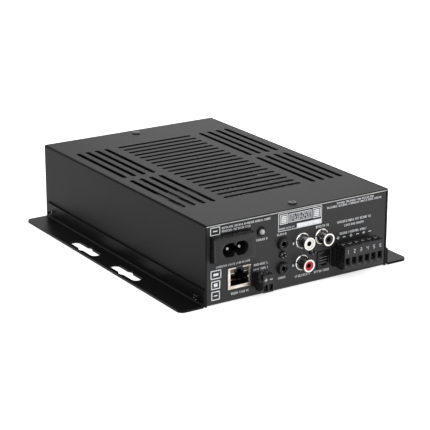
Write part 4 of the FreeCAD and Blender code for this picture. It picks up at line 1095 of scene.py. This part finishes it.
@dataclass
class NetworkJack:
    """Shielded network jack with a bright front frame, side springs and lamp windows.

    The frame's bands are its widths at the left, the right, the bottom and the top.
    Behind it lie two rails under the lamps, and the catch of the plug at its right.
    A spring holds its reach, rise, width and thickness.
    """

    x: float = -44.7
    low: float = 8.1
    width: float = 16.6
    tall: float = 13.8
    face: float = -104.95
    deep: float = 21.0
    sheet: float = 0.45
    mouth: float = 11.9
    corner: float = 0.5
    bands: tuple[float, float, float, float] = (1.75, 1.3, 2.1, 0.95)
    rail_notch: Flat = (4.6, 0.78)
    rail: Place = (4.0, 0.3, 0.35)
    rail_in: float = 0.9
    rail_z: float = 9.9
    catch_x: Flat = (-0.9, 0.2)
    catch_y: Flat = (-0.08, 0.4)
    catch_z: Flat = (5.6, 7.1)
    spring: tuple[float, float, float, float] = (7.6, 1.1, 1.3, 0.2)
    spring_at: Flat = (9.0, 5.4)
    spring_in: float = 0.1
    behind: float = 0.2
    soften: float = 0.12
    rail_soften: float = 0.08
    catch_soften: float = 0.2
    case_soften: float = 0.1

    def opening(self) -> list[Flat]:
        """Outline of the opening in the bright front frame.

        Returns:
            The outline, about the jack's lower middle.
        """
        left, right = self.bands[0] - self.width / 2, self.width / 2 - self.bands[1]
        low, high = self.bands[2], self.tall - self.bands[3]
        rise, half = high + self.rail_notch[1], self.rail_notch[0] / 2
        return [(left, low), (right, low), (right, high), (half, high), (half, rise), (-half, rise),
                (-half, high), (left, high)]

    def shield(self) -> Shape:
        """Draw the frame and the case behind it.

        Returns:
            The drawing.
        """
        half, top, back = self.width / 2, self.low + self.tall, self.face + self.deep
        outer = [(across, up + self.tall / 2) for across, up in rounded_box(self.width, self.tall, self.corner)]
        shape = Shape().plate([outer, self.opening()], self.sheet, (self.x, self.face, self.low),
                              self.soften)
        long, thick, high = self.rail
        for start in (self.x - half + self.rail_in, self.x + half - self.rail_in - long):
            shape.block((start, self.face + thick, self.low + self.rail_z),
                        (start + long, self.face + 2 * thick, self.low + self.rail_z + high), self.rail_soften)
        edge = Vector((self.x + half - self.bands[1], self.face, self.low))
        near, far = zip(self.catch_x, self.catch_y, self.catch_z)
        shape.block(edge + Vector(near), edge + Vector(far), self.catch_soften)
        left, right, near = self.x - half, self.x + half, self.face + self.behind
        for low, high in (((left, near, self.low), (left + self.sheet, back, top)),
                          ((right - self.sheet, near, self.low), (right, back, top)),
                          ((left, near, self.low), (right, back, self.low + self.sheet)),
                          ((left, near, top - self.sheet), (right, back, top)),
                          ((left, back - self.sheet, self.low), (right, back, top))):
            shape.block(low, high, self.case_soften)
        return shape

    def build(self) -> None:
        """Make the shield and its springs."""
        placed(self.shield().made("network_jack_shield_dressed", Finishes.shield_steel), "jack_shield",
               "network_jack_shield")
        wall, (deep, up) = self.mouth / 2 - self.spring_in, self.spring_at
        seats = [Seat((self.x + side, self.face + deep, self.low + up), way)
                 for side, way in ((-wall, Way.RIGHT), (wall, Way.LEFT))]
        sizes = dict(zip(("Reach", "Rise", "Width", "Thickness"), self.spring))
        springs = finger_pattern().grown("network_jack_side_springs", seats, Finishes.bronze, sizes)
        placed(springs, "jack_shield")


@dataclass
class PhonoJacks:
    """Three phono jacks: turned nickel shells round coloured inserts.

    Each section is a closed ring of points: radius and distance in front of the panel.
    """

    places: tuple[tuple[str, Finish, float, float], ...] = (
        ("white", Finishes.white_plastic, 2.302, 29.5), ("red", Finishes.red_plastic, 2.302, 15.1),
        ("black", Finishes.black_plastic, 17.102, 29.5))
    panel: float = -104.35
    reach: float = 8.2
    radius: float = 4.15
    wall: float = 0.55
    lip: float = 3.0
    flange: float = 5.0
    flange_proud: float = 0.9
    behind: float = 5.05
    sunk: float = 0.35
    bore: float = 1.64
    stake: Flat = (0.95, 0.7)
    stake_in: float = 0.45
    stake_ink: float = 0.04
    stake_turns: tuple[float, ...] = (168.0, 98.0, -12.0, -82.0)
    steps: int = 56
    socket_steps: int = 32

    def rim(self) -> Section:
        """Section of the bright rolled rim."""
        r, lip, nose, inner = self.radius, self.lip, self.reach, self.radius - self.wall
        return [(lip, nose - 0.3), (lip + 0.12, nose - 0.08), (lip + 0.35, nose), (r - 0.25, nose),
                (r - 0.07, nose - 0.07), (r, nose - 0.25), (r, nose - 1.1), (r - 0.13, nose - 1.25),
                (inner, nose - 1.25), (inner, nose - 0.9), (lip, nose - 0.75)]

    def barrel(self) -> Section:
        """Section of the barrel behind the rim, whose finish paints dark and bright reflections."""
        r, nose, foot = self.radius, self.reach, self.flange_proud
        return [(r - 0.15, nose - 1.2), (r - 0.15, foot + 1.4), (r - 0.05, foot + 1.2), (r - 0.05, foot - 0.1),
                (r, -1.0), (r, -self.behind), (r - self.wall, -self.behind), (r - self.wall, nose - 1.2)]

    def collar(self) -> Section:
        """Section of the bright flange on the panel."""
        wide, proud, inner = self.flange + 0.2, self.flange_proud, self.radius + 0.02
        return [(inner, proud - 0.45), (inner + 0.1, proud - 0.2), (inner + 0.28, proud - 0.05),
                (inner + 0.5, proud), (wide - 0.32, proud - 0.08), (wide - 0.12, proud - 0.3),
                (wide - 0.02, proud - 0.6), (wide, proud - 0.9), (wide, -1.0), (inner, -1.0)]

    def socket(self, face: float) -> Section:
        """Section of the contact inside an insert whose face is that far in front of the panel, near-black as
        painted shade in the hole.
        """
        return [(self.bore, face - 0.45), (self.bore, face - 7.5), (0.0, face - 7.5), (0.0, face - 7.3),
                (1.3, face - 7.3), (1.3, face - 0.45)]

    def insert(self, face: float) -> Section:
        """Section of an insert whose face is that far in front of the panel."""
        inner, lip = self.radius - self.wall - 0.05, self.lip - 0.05
        return [(lip, face - 0.25), (lip - 0.1, face - 0.05), (2.6, face), (2.5, face - 0.2), (2.3, face - 0.2),
                (2.2, face), (1.9, face), (1.66, face - 0.3), (1.66, face - 7.6), (1.9, face - 7.6),
                (1.9, -6.9), (2.55, -6.9), (2.55, -14.05), (inner, -14.05), (inner, self.reach - 1.0),
                (lip, self.reach - 0.97)]

    def stakes(self) -> list[Seat]:
        """Where the flanges are staked.

        Returns:
            The seats of flat near-black marks that paint the notches' shade.
        """
        seats = []
        for _, _, x, z in self.places:
            for turn in map(math.radians, self.stake_turns):
                middle = Vector((math.cos(turn), math.sin(turn))) * (self.flange - self.stake_in)
                seats.append(Seat((x + middle.x, self.panel - self.flange_proud, z + middle.y), Way.OUT, turn,
                                  (*self.stake, 1.0)))
        return seats

    def build(self) -> None:
        """Make shells, sockets, stakes and inserts."""
        spots = [(x, self.panel, z) for _, _, x, z in self.places]
        face = self.reach - self.sunk
        bright = Shape().rings(self.rim(), spots, self.steps).rings(self.collar(), spots, self.steps)
        placed(bright.made("phono_jack_shells_dressed", Finishes.nickel), "phono_shell", "phono_jack_shells")
        # painted reflections: the barrels' streaked dark finish
        dark = Shape().rings(self.barrel(), spots, self.steps)
        placed(dark.made("phono_jack_barrels", Finishes.nickel_painted_reflections), "phono_shell")
        # painted shade: near-black contact tubes deep in the inserts' holes, and flat near-black stake marks on
        # the flanges
        sockets = Shape().rings(self.socket(face), spots, self.socket_steps)
        placed(sockets.made("phono_jack_sockets", Finishes.liner), "phono_black")
        inked("phono_jack_stakes", self.stakes(), Finishes.liner, "phono_shell", self.stake_ink)
        for (name, finish, _, _), spot in zip(self.places, spots):
            insert = Shape().rings(self.insert(face), [spot])
            placed(insert.made(f"phono_insert_{name}_dressed", finish), f"phono_{name}", f"phono_insert_{name}")


@dataclass
class InfraredJacks:
    """Softened block of the two infrared jacks, with collars, mouths and contact rings.

    Each section is a closed ring of points: radius and distance in front of the panel.
    """

    x: float = -12.499
    heights: Flat = (14.3, 30.4)
    panel: float = -104.35
    soften: float = 0.12
    rim: Section = ((2.15, 2.3), (2.4, 2.62), (3.3, 2.7), (3.65, 2.55), (3.85, 2.2), (4.2, 0.35), (4.3, 0.02),
                    (3.56, 0.02), (3.56, 2.04), (2.15, 2.04))
    # the mouths' flare is near-black: painted shade round each hole
    flare: Section = ((1.8, 1.7), (1.86, 2.0), (2.13, 2.03), (2.13, 1.9), (1.95, 1.7))
    ring: Section = ((1.7, 1.6), (1.79, 1.6), (1.79, 0.9), (1.7, 0.9))

    def build(self) -> None:
        """Round the block's edges, and lay collar, mouth and ring on each jack."""
        placed(softened("infrared_jacks", Finishes.jack_moulding, self.soften), "jack_moulding",
               "infrared_jacks")
        spots = [(self.x, self.panel, z) for z in self.heights]
        for name, section, steps, finish, slot in (
                ("infrared_jack_rims", self.rim, 40, Finishes.black_moulding, "jack_moulding"),
                ("infrared_jack_mouths", self.flare, 48, Finishes.liner, "jack_moulding"),
                ("infrared_jack_rings", self.ring, 48, Finishes.nickel, "plated_pin")):
            placed(Shape().rings(section, spots, steps).made(name, finish), slot)


@dataclass
class StatusLamp:
    """Domed lamp in its ring, with two leads that turn down to the board."""

    x: float = -28.402
    z: float = 41.0
    panel: float = -104.35
    bezel: Section = ((1.84, 0.55), (1.95, 0.95), (2.4, 1.15), (2.95, 1.0), (3.2, 0.55), (3.2, 0.0),
                      (2.7, -0.02), (2.7, -5.5), (1.84, -5.5))
    dome: Section = ((0.0, 2.6), (0.6, 2.5), (1.1, 2.2), (1.5, 1.75), (1.72, 1.25), (1.8, 0.7), (1.8, -5.5),
                     (0.0, -5.5))
    lead: float = 0.5
    lead_aside: float = 1.27
    lead_y: Flat = (5.4, 7.5)
    lead_low: float = 25.1
    lead_lap: float = 0.2
    lead_soften: float = 0.05

    def build(self) -> None:
        """Make ring, lamp and leads."""
        spot, half = (self.x, self.panel, self.z), self.lead / 2
        placed(Shape().rings(self.bezel, [spot]).made("status_lamp_bezel_dressed", Finishes.bezel),
               "lamp_bezel", "status_lamp_bezel")
        lamp = Shape().turned(self.dome, spot, steps=32)
        near, far = (self.panel + deep for deep in self.lead_y)
        for middle in (self.x - self.lead_aside, self.x + self.lead_aside):
            lamp.block((middle - half, near, self.z - half), (middle + half, far, self.z + half),
                       self.lead_soften)
            lamp.block((middle - half, far - self.lead, self.lead_low),
                       (middle + half, far, self.z + self.lead_lap), self.lead_soften)
        placed(lamp.made("status_lamp_dressed", Finishes.lamp), "lamp_lens", "status_lamp")


@dataclass
class TerminalBlock:
    """One plug-in screw terminal: the plug's rounded body and its screws.

    Edges hold how many slot widths aside a painted glint beside the slot lies, and how many head radii long it is.
    """

    name: str
    poles: int
    pitch: float
    middle: float
    screw_y: float
    head_z: float
    head: float
    head_radius: float
    shank_radius: float
    shank_end: float
    slot: float
    slot_deep: float
    soften: float
    edges: tuple[Flat, Flat] = ((-0.9, 1.2), (1.0, 0.7))
    glint_wide: float = 0.5
    glint_ink: float = 0.06
    glint_sunk: float = 0.04

    def build(self) -> None:
        """Make the plug and its screws, and coat the cages."""
        plug = f"{self.name}_plug"
        placed(softened(plug, Finishes.plug_moulding, self.soften), "terminal_moulding", plug, body=plug)
        sizes = ScrewSizes(self.head_radius, self.head, 3 * self.head_radius, self.slot, self.slot,
                           self.slot_deep, self.shank_radius, self.head_z - self.shank_end).inputs()
        for number in range(1, self.poles + 1):
            x = self.middle + (number - (self.poles + 1) / 2) * self.pitch
            node = f"{self.name}_screw_{number}"
            screw = [Seat((x, self.screw_y, self.head_z))]
            piece = screw_pattern().grown(node + "_dressed", screw, Finishes.steel, sizes)
            placed(piece, "terminal_screw", node, body=node)
            # painted glints: light flat marks beside each screw's slot
            edges = [Seat((x + side * self.slot, self.screw_y, self.head_z + self.head - self.glint_sunk), Way.UP,
                          math.pi / 2, (long * self.head_radius, self.glint_wide * self.slot, 1.0))
                     for side, long in self.edges]
            inked(node + "_edges", edges, Finishes.painted_glint, "terminal_screw", self.glint_ink,
                  node)
            coat(f"{self.name}_clamp_{number}", Finishes.tinned)


@dataclass
class PanelPrint:
    """White print on the connector panel: plain bars, lines, boxes, and plus and minus signs.

    Places across the panel are measured from the case's left side.
    Pen, letter, gap, space and spare are shares of a letter's height, where spare is the least room that
    another letter needs. First and word are the fewest and the most letters of a word.
    Closed is the share of letters with a second upright.
    Lines hold start, end, middle height and height of a letter.
    Boxes hold sides, lower and upper edge, and width of the line.
    Filled bars hold middle, middle height, width and height.
    Ladders hold the left side of each box with rungs.
    """

    left: float = -69.0
    panel: float = -104.35
    seed: int = 17
    pen: float = 0.17
    letter: Flat = (0.4, 0.62)
    gap: float = 0.24
    space: float = 0.45
    spare: float = 0.3
    first: tuple[int, int] = (4, 8)
    word: tuple[int, int] = (3, 8)
    closed: float = 0.55
    lines: tuple[tuple[float, float, float, float], ...] = (
        (11.9, 47.1, 48.4, 1.35), (11.9, 32.8, 46.3, 1.35), (7.9, 32.3, 24.2, 1.3), (36.7, 45.4, 36.0, 1.5),
        (35.2, 45.7, 20.2, 1.5), (35.2, 45.8, 17.2, 1.4), (52.2, 60.4, 36.4, 1.5), (53.4, 59.4, 8.0, 1.5),
        (18.7, 31.3, 5.0, 1.5), (53.9, 65.6, 39.9, 1.0), (81.7, 91.8, 36.2, 1.6), (97.6, 126.1, 49.0, 1.4),
        (90.0, 133.4, 47.2, 1.4), (98.3, 125.1, 36.2, 1.55), (103.8, 119.6, 33.3, 1.5), (100.5, 122.6, 28.4, 1.6),
        (66.3, 78.4, 6.5, 1.6), (80.9, 92.5, 6.5, 1.6), (61.9, 77.2, 47.3, 1.25), (61.9, 77.2, 45.8, 1.25),
        (61.9, 77.2, 44.3, 1.25))
    boxes: tuple[tuple[Flat, Flat, float], ...] = (
        ((3.9, 10.4), (45.0, 49.7), 0.5), ((4.2, 11.2), (17.2, 22.2), 0.6), ((4.6, 10.4), (10.6, 15.4), 0.6),
        ((4.7, 10.2), (3.6, 8.7), 0.6), ((53.2, 85.8), (38.4, 49.9), 0.35), ((61.0, 77.8), (43.2, 48.4), 0.4))
    filled: tuple[tuple[float, float, float, float], ...] = (
        (7.15, 47.35, 3.2, 0.7), (7.7, 19.7, 3.6, 1.6), (7.5, 13.0, 2.6, 2.2), (7.45, 6.15, 2.4, 0.7),
        (76.3, 40.0, 18.6, 2.7), (64.7, 28.6, 0.8, 1.35), (64.7, 14.2, 0.8, 1.35))
    ladders: Flat = (54.4, 79.2)
    ladder_wide: float = 5.6
    ladder_z: Flat = (42.9, 48.7)
    ladder_line: float = 0.45
    rung: Flat = (4.0, 0.85)
    rungs: tuple[float, ...] = (44.0, 45.15, 46.3, 47.45)
    signs: tuple[float, ...] = (99.1, 104.0, 109.4, 114.6, 119.5, 124.4)
    sign_z: float = 25.8
    sign: Flat = (2.1, 0.504)
    seats: list[Seat] = field(default_factory=list)

    def bar(self, x: float, z: float, long: float, tall: float) -> None:
        """Add one bar, by its middle, its height, its width and how tall it is."""
        self.seats.append(Seat((self.left + x, self.panel, z), Way.OUT, 0.0, (long, tall, 1.0)))

    def words(self, start: float, end: float, z: float, tall: float, draw: random.Random) -> None:
        """Fill a line with letter-like strokes in word-like groups.

        Args:
            start: where the line starts.
            end: where it ends.
            z: its middle height.
            tall: height of a letter.
            draw: source of the strokes.
        """
        pen, left = tall * self.pen, draw.randint(*self.first)
        x = start
        while x < end - tall * self.spare:
            wide = tall * draw.uniform(*self.letter)
            self.bar(x + pen / 2, z, pen, tall)
            for share in draw.sample((-0.5, 0.0, 0.5), draw.randint(1, 2)):
                self.bar(x + wide / 2, z + share * (tall - pen), wide, pen)
            if draw.random() < self.closed:
                self.bar(x + wide - pen / 2, z, pen, tall)
            x += wide + tall * self.gap
            left -= 1
            if left == 0:
                x += tall * self.space
                left = draw.randint(*self.word)

    def outline(self, x: Flat, z: Flat, line: float) -> None:
        """Add the outline of a box.

        Args:
            x: its sides.
            z: its lower and upper edge.
            line: the line's width.
        """
        for height in z:
            self.bar(sum(x) / 2, height, x[1] - x[0] + line, line)
        for side in x:
            self.bar(side, sum(z) / 2, line, z[1] - z[0])

    def build(self) -> None:
        """Lay out the print and make it."""
        draw = random.Random(self.seed)
        for line in self.lines:
            self.words(*line, draw)
        for box in self.boxes:
            self.outline(*box)
        for x in self.ladders:
            self.outline((x, x + self.ladder_wide), self.ladder_z, self.ladder_line)
            for height in self.rungs:
                self.bar(x + self.ladder_wide / 2, height, *self.rung)
        for bar in self.filled:
            self.bar(*bar)
        for number, x in enumerate(self.signs):
            long, pen = self.sign
            self.bar(x, self.sign_z, long, pen)
            if number % 2 == 0:
                self.bar(x, self.sign_z, pen, long)
        inked("panel_print", self.seats, Finishes.ink, "case_coat")


@dataclass
class PlugPrint:
    """Plain numbers on the speaker plug's face, plus and minus on the trigger plug's.

    Signs hold the middle, the width and the height of each stroke.
    """

    tall: float = 2.15
    slim: float = 0.55
    pen: float = 0.3
    height: float = 19.85
    pitch: float = 5.08
    first: float = 29.7
    face: float = -115.85
    strokes: tuple[str, ...] = ("bc", "abged", "abgcd", "fgbc", "afgcd", "afgedc")
    sign_face: float = -114.85
    sign_z: float = 13.4
    signs: tuple[Place, ...] = ((-31.805, 2.2, 0.5), (-31.805, 0.5, 2.2), (-27.995, 2.0, 0.5))

    def digit(self, x: float, lit: str) -> list[Seat]:
        """Strokes of one number, drawn as on a seven-segment display.

        Args:
            x: its middle.
            lit: its segments, a to g.

        Returns:
            The strokes.
        """
        wide, half = self.tall * self.slim, self.tall / 4
        spots = {"a": (0.0, 2 * half, True), "b": (wide / 2, half, False), "c": (wide / 2, -half, False),
                 "d": (0.0, -2 * half, True), "e": (-wide / 2, -half, False), "f": (-wide / 2, half, False),
                 "g": (0.0, 0.0, True)}
        shift = -wide / 2 if lit == "bc" else 0.0
        seats = []
        for across, up, flat in map(spots.get, lit):
            size = (wide + self.pen, self.pen, 1.0) if flat else (self.pen, 2 * half + self.pen, 1.0)
            seats.append(Seat((x + across + shift, self.face, self.height + up), Way.OUT, 0.0, size))
        return seats

    def build(self) -> None:
        """Make the marks."""
        numbers = [seat for place, lit in enumerate(self.strokes)
                   for seat in self.digit(self.first + self.pitch * place, lit)]
        signs = [Seat((x, self.sign_face, self.sign_z), Way.OUT, 0.0, (long, tall, 1.0))
                 for x, long, tall in self.signs]
        for name, seats, body in (("speaker_plug_numbers", numbers, Body.SPEAKER_PLUG),
                                  ("trigger_plug_signs", signs, Body.TRIGGER_PLUG)):
            inked(name, seats, Finishes.plug_ink, "terminal_moulding", body=body.value)


@dataclass
class CaseTrim:
    """Painted highlight: a bright bare strip at the cover's front end. Painted shade: near-black strips along the
    cover's two bends.
    """

    half: float = 68.2
    front: float = -104.83
    back: float = -104.72
    low: float = 50.72
    high: float = 51.3
    side: float = 69.0
    top: float = 52.0
    far: float = 104.6
    bend: float = 0.55
    proud: float = 0.03
    soften: float = 0.2
    edge_soften: float = 0.03

    def build(self) -> None:
        """Make the painted highlight strip at the front end and the painted shade strips on the bends."""
        # painted shade: near-black strips along the cover's top corners
        bends = Shape()
        for way in (-1, 1):
            left, right = sorted((way * (self.side - self.bend), way * (self.side + self.proud)))
            bends.block((left, -self.far, self.top - self.bend), (right, self.far, self.top + self.proud),
                        self.soften)
        placed(bends.made("cover_bends", Finishes.bend_shade_coat), "case_coat")
        # painted highlight: a bright strip along the cover's front end
        edge = Shape().block((-self.half, self.front, self.low), (self.half, self.back, self.high),
                             self.edge_soften)
        placed(edge.made("cover_front_edge", Finishes.painted_edge_highlight), "case_coat")


@dataclass
class OpticalSocket:
    """The optical socket's softened body."""

    soften: float = 0.12

    def build(self) -> None:
        """Round its edges."""
        placed(softened("optical_socket", Finishes.jack_moulding, self.soften), "jack_moulding",
               "optical_socket")


@dataclass
class ShutterRibs:
    """Moulded ribs across the optical socket's flap, in a paler grey that paints the highlights they catch."""

    x: Flat = (14.95, 22.85)
    front: float = -103.9
    proud: float = 0.12
    sunk: float = 0.1
    half: float = 0.16
    heights: tuple[float, ...] = (11.4, 13.2, 15.0, 17.3)
    soften: float = 0.05

    def build(self) -> None:
        """Make the ribs."""
        ribs = Shape()
        for height in self.heights:
            ribs.block((self.x[0], self.front - self.proud, height - self.half),
                       (self.x[1], self.front + self.sunk, height + self.half), self.soften)
        placed(ribs.made("optical_shutter_ribs", Finishes.rib), "optical_flap", body=Body.SHUTTER.value)


@dataclass
class BoardParts:
    """What is soldered and wound inside: tape, wire turns, can tops, small parts and board screws.

    Boards hold height of the top, area from near left to far right, and number of small parts.
    Layer is how far over a board its small parts keep clear of what stands there.
    Tries is how many spots are drawn for each part that is wanted.
    """

    seed: int = 23
    tape: float = 0.15
    tape_soften: float = 0.9
    winding_x: Flat = (-53.8, -34.2)
    winding_y: tuple[Flat, Flat] = ((-41.75, -35.35), (-22.15, -15.75))
    winding_z: Flat = (31.6, 42.8)
    wire: float = 0.9
    wire_radius: float = 5.05
    wire_pitch: float = 0.94
    wire_turns: int = 9
    wire_foot: float = 1.75
    wire_head: float = 1.6
    can_top: Section = ((0.0, 0.0), (7.0, 0.0), (7.1, 0.06), (7.0, 0.12), (0.0, 0.12))
    can_sunk: float = 0.02
    score: Place = (8.5, 0.35, 1.0)
    score_up: float = 0.1
    score_turns: Flat = (0.4, 1.97)
    score_ink: float = 0.04
    room: Flat = (3.6, 2.6)
    layer: Flat = (0.05, 2.5)
    tries: int = 6
    lengths: Place = (1.6, 2.0, 3.2)
    slim: float = 0.55
    rise: Flat = (0.5, 1.1)
    cap: float = 0.22
    screw_turn: float = 0.5
    boards: tuple[tuple[float, tuple[float, float, float, float], int], ...] = (
        (8.1, (-60.0, -85.0, 60.0, 52.0), 210), (27.7, (-62.0, -98.0, -24.0, 26.0), 60))
    board_screw: ScrewSizes = ScrewSizes(head_radius=2.7, head_height=1.8, arm=3.2, second_arm=3.2,
                                         arm_width=0.7, recess_depth=1.1, shank_radius=1.45, shank_length=5.5)

    def tapes(self) -> None:
        """Lay yellow tape round the transformer's winding, on both sides of its core."""
        wrap = Shape()
        (left, right), (low, high) = self.winding_x, self.winding_z
        for near, far in self.winding_y:
            wrap.block((left - self.tape, near - self.tape, low), (right + self.tape, far + self.tape, high),
                       self.tape_soften)
        placed(wrap.made("transformer_tape", Finishes.tape), "transformer_core")

    def chokes(self) -> None:
        """Wind wire on the output chokes."""
        heights = [self.wire_foot + self.wire_pitch * step for step in range(self.wire_turns)]
        seats = [Seat(((low.x + high.x) / 2, (low.y + high.y) / 2, low.z + height))
                 for low, high in solids_of("output_coils") for height in heights
                 if low.z + height < high.z - self.wire_head]
        sizes = {"Turn radius": self.wire_radius, "Wire": self.wire}
        placed(ring_pattern().grown("choke_wire", seats, Finishes.copper, sizes), "choke_moulding")

    def cans(self) -> None:
        """Close the reservoir capacitors with bare tops and scored vents."""
        tops, scores = Shape(), []
        for low, high in solids_of("filter_capacitors"):
            x, y = (low.x + high.x) / 2, (low.y + high.y) / 2
            tops.turned(self.can_top, (x, y, high.z - self.can_sunk), Way.UP, 32)
            scores += [Seat((x, y, high.z + self.score_up), Way.UP, turn, self.score)
                       for turn in self.score_turns]
        placed(tops.made("capacitor_tops", Finishes.aluminium), "can_sleeve")
        inked("capacitor_scores", scores, Finishes.chip, "can_sleeve", self.score_ink)

    def clear(self, x: float, y: float, z: float, taken: list[Solid], spots: list[Flat]) -> bool:
        """Whether a spot on a board is free.

        Args:
            x: how far right the spot is.
            y: how far back it is.
            z: the board's top.
            taken: boxes of what already stands there.
            spots: the small parts that are already there.

        Returns:
            True where nothing stands.
        """
        (long, reach), (lower, upper) = self.room, self.layer
        return not any(low.x - reach < x < high.x + reach and low.y - reach < y < high.y + reach
                       and low.z < z + upper and high.z > z + lower for low, high in taken) and all(
                           abs(x - a) > long or abs(y - b) > reach for a, b in spots)

    def scatter(self) -> None:
        """Spread small parts over the free room on both boards."""
        draw, seats = random.Random(self.seed), []
        taken = [box for name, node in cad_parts.items()
                 if not name.endswith(("board", "cover", "tray", "bracket")) for box in solids_of(name)]
        for z, (left, near, right, far), wanted in self.boards:
            spots = []
            for _ in range(wanted * self.tries):
                x, y = round(draw.uniform(left, right), 1), round(draw.uniform(near, far), 1)
                if len(spots) < wanted and self.clear(x, y, z, taken, spots):
                    spots.append((x, y))
                    long = draw.choice(self.lengths)
                    seats.append(Seat((x, y, z), turn=draw.choice((0.0, math.pi / 2)),
                                      size=(long, long * self.slim, draw.uniform(*self.rise))))
        for name, ends, finish in (("board_part_bodies", False, Finishes.ceramic),
                                   ("board_part_caps", True, Finishes.tinned)):
            placed(part_pattern(ends).grown(name, seats, finish, {"Cap": self.cap}), "board_laminate")

    def screws(self) -> None:
        """Make the boards' screws."""
        sizes, drop = self.board_screw.inputs(), self.board_screw.head_height
        seats = [Seat(((low.x + high.x) / 2, (low.y + high.y) / 2, high.z - drop), Way.UP,
                      self.screw_turn * number)
                 for number, (low, high) in enumerate(solids_of("board_screws"))]
        piece = screw_pattern().grown("board_screws_dressed", seats, Finishes.steel, sizes)
        placed(piece, "steel_screw", "board_screws")

    def build(self) -> None:
        """Make all of it."""
        self.tapes()
        self.chokes()
        self.cans()
        self.scatter()
        self.screws()


@dataclass(frozen=True)
class Softbox:
    """A square lamp: where it hangs and what it faces, with its side in metres and its power in watts."""

    name: str
    at: Place
    towards: Place
    size: float
    power: float

    def hang(self) -> None:
        """Add the lamp, unseen by the camera."""
        light = bpy.data.lights.new(self.name, "AREA")
        light.size, light.energy = self.size, self.power
        box = bpy.data.objects.new(self.name, light)
        box.location = self.at
        box.visible_camera = False
        box.rotation_euler = (Vector(self.towards) - Vector(self.at)).to_track_quat("-Z", "Y").to_euler()
        bpy.context.scene.collection.objects.link(box)


@dataclass
class Studio:
    """Pale floor, soft light and the camera. Lengths are in metres, apart from the paper's blotches."""

    camera_at: Place = (-0.5427, -0.85205, 0.3532)
    looks: Place = (0.5132, 0.7982, -0.3155)
    lens: float = 132.15
    sensor: float = 36.0
    clip: Flat = (0.01, 30.0)
    floor_drop: float = 0.0004
    floor_half: float = 6.0
    ambient: float = 0.45
    floor_glow: float = 0.6
    paper: Colour = (0.9, 0.9, 0.9)
    paper_shade: Colour = (0.88, 0.88, 0.88)
    paper_blotch: float = 60.0
    paper_roughness: float = 0.9
    lamps: tuple[Softbox, ...] = (
        Softbox("soft_top", (0.1, 0.2, 1.5), (0.05, 0.05, 0.0), 1.4, 12.0),
        Softbox("soft_left", (-1.6, -0.9, 0.9), (0.0, 0.0, 0.03), 1.2, 5.0),
        Softbox("soft_front", (-0.3, -1.7, 0.9), (0.0, -0.1, 0.03), 1.0, 16.0),
        Softbox("soft_right", (1.5, -0.9, 1.0), (0.0, 0.0, 0.03), 1.0, 6.0),
        Softbox("soft_back", (0.75, 1.05, 0.45), (0.05, 0.1, 0.05), 0.5, 0.9))

    def build(self) -> None:
        """Make floor, world, lamps and camera."""
        self.floor()
        self.world()
        for lamp in self.lamps:
            lamp.hang()
        lens = bpy.data.cameras.new("camera")
        lens.lens, lens.sensor_width = self.lens, self.sensor
        lens.clip_start, lens.clip_end = self.clip
        camera = bpy.data.objects.new("camera", lens)
        camera.location = self.camera_at
        camera.rotation_euler = Vector(self.looks).to_track_quat("-Z", "Y").to_euler()
        bpy.context.scene.collection.objects.link(camera)
        bpy.context.scene.camera = camera
        bpy.context.scene.view_settings.view_transform = "Standard"

    def world(self) -> None:
        """White to look at, plainer as a light."""
        world = bpy.data.worlds.new("studio")
        world.use_nodes = True
        bpy.context.scene.world = world
        tree = Tree(world.node_tree)
        world.node_tree.nodes.clear()
        lit, white = [tree.out("Background", {"Color": (1.0, 1.0, 1.0, 1.0), "Strength": strength})
                      for strength in (self.ambient, 1.0)]
        tree.add("OutputWorld", {0: tree.out("MixShader", {0: tree.seen(), 1: lit, 2: white})})

    def floor(self) -> None:
        """Pale floor that keeps a soft shadow."""
        half = self.floor_half
        mesh = bpy.data.meshes.new("floor")
        corners = [(-half, -half), (half, -half), (half, half), (-half, half)]
        mesh.from_pydata([(x, y, -self.floor_drop) for x, y in corners], [], [(0, 1, 2, 3)])
        graph = Graph("floor_paper")
        shader = graph.shader.inputs
        tone = graph.between(graph.noise(self.paper_blotch), 0.0, 1.0)
        graph.feed(shader["Base Color"], graph.mixed(tone, self.paper, self.paper_shade))
        shader["Roughness"].default_value = self.paper_roughness
        shader["Specular IOR Level"].default_value = 0.0
        glow = graph.out("Emission", {"Strength": graph.times(graph.seen(), self.floor_glow)})
        both = graph.out("AddShader", {0: graph.shader.outputs[0], 1: glow})
        graph.feed(graph.tree.nodes["Material Output"].inputs["Surface"], both)
        mesh.materials.append(graph.material)
        floor = bpy.data.objects.new("floor", mesh)
        bpy.context.scene.collection.objects.link(floor)


def main() -> None:
    """Build every piece in order, then the studio."""
    logging.basicConfig(level=logging.INFO, format="%(name)s: %(message)s")
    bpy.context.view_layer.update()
    for finish, nodes in NODE_FINISHES.items():
        for node in nodes:
            coat(node, finish)
    speaker = TerminalBlock(name="speaker", poles=6, pitch=5.08, middle=42.4, screw_y=-110.85, head_z=21.15,
                            head=2.25, head_radius=1.9, shank_radius=1.45, shank_end=15.45, slot=0.7,
                            slot_deep=0.9, soften=0.18)
    trigger = TerminalBlock(name="trigger", poles=2, pitch=3.81, middle=-29.9, screw_y=-110.35, head_z=14.85,
                            head=1.75, head_radius=1.35, shank_radius=0.95, shank_end=10.75, slot=0.5,
                            slot_deep=0.65, soften=0.14)
    for assembly in (CaseScrews(), MainsInlet(), NetworkJack(), PhonoJacks(), InfraredJacks(), StatusLamp(),
                     OpticalSocket(), speaker, trigger, PanelPrint(), PlugPrint(), CaseTrim(), ShutterRibs(),
                     BoardParts(), Studio()):
        assembly.build()


if __name__ == "__main__":
    main()
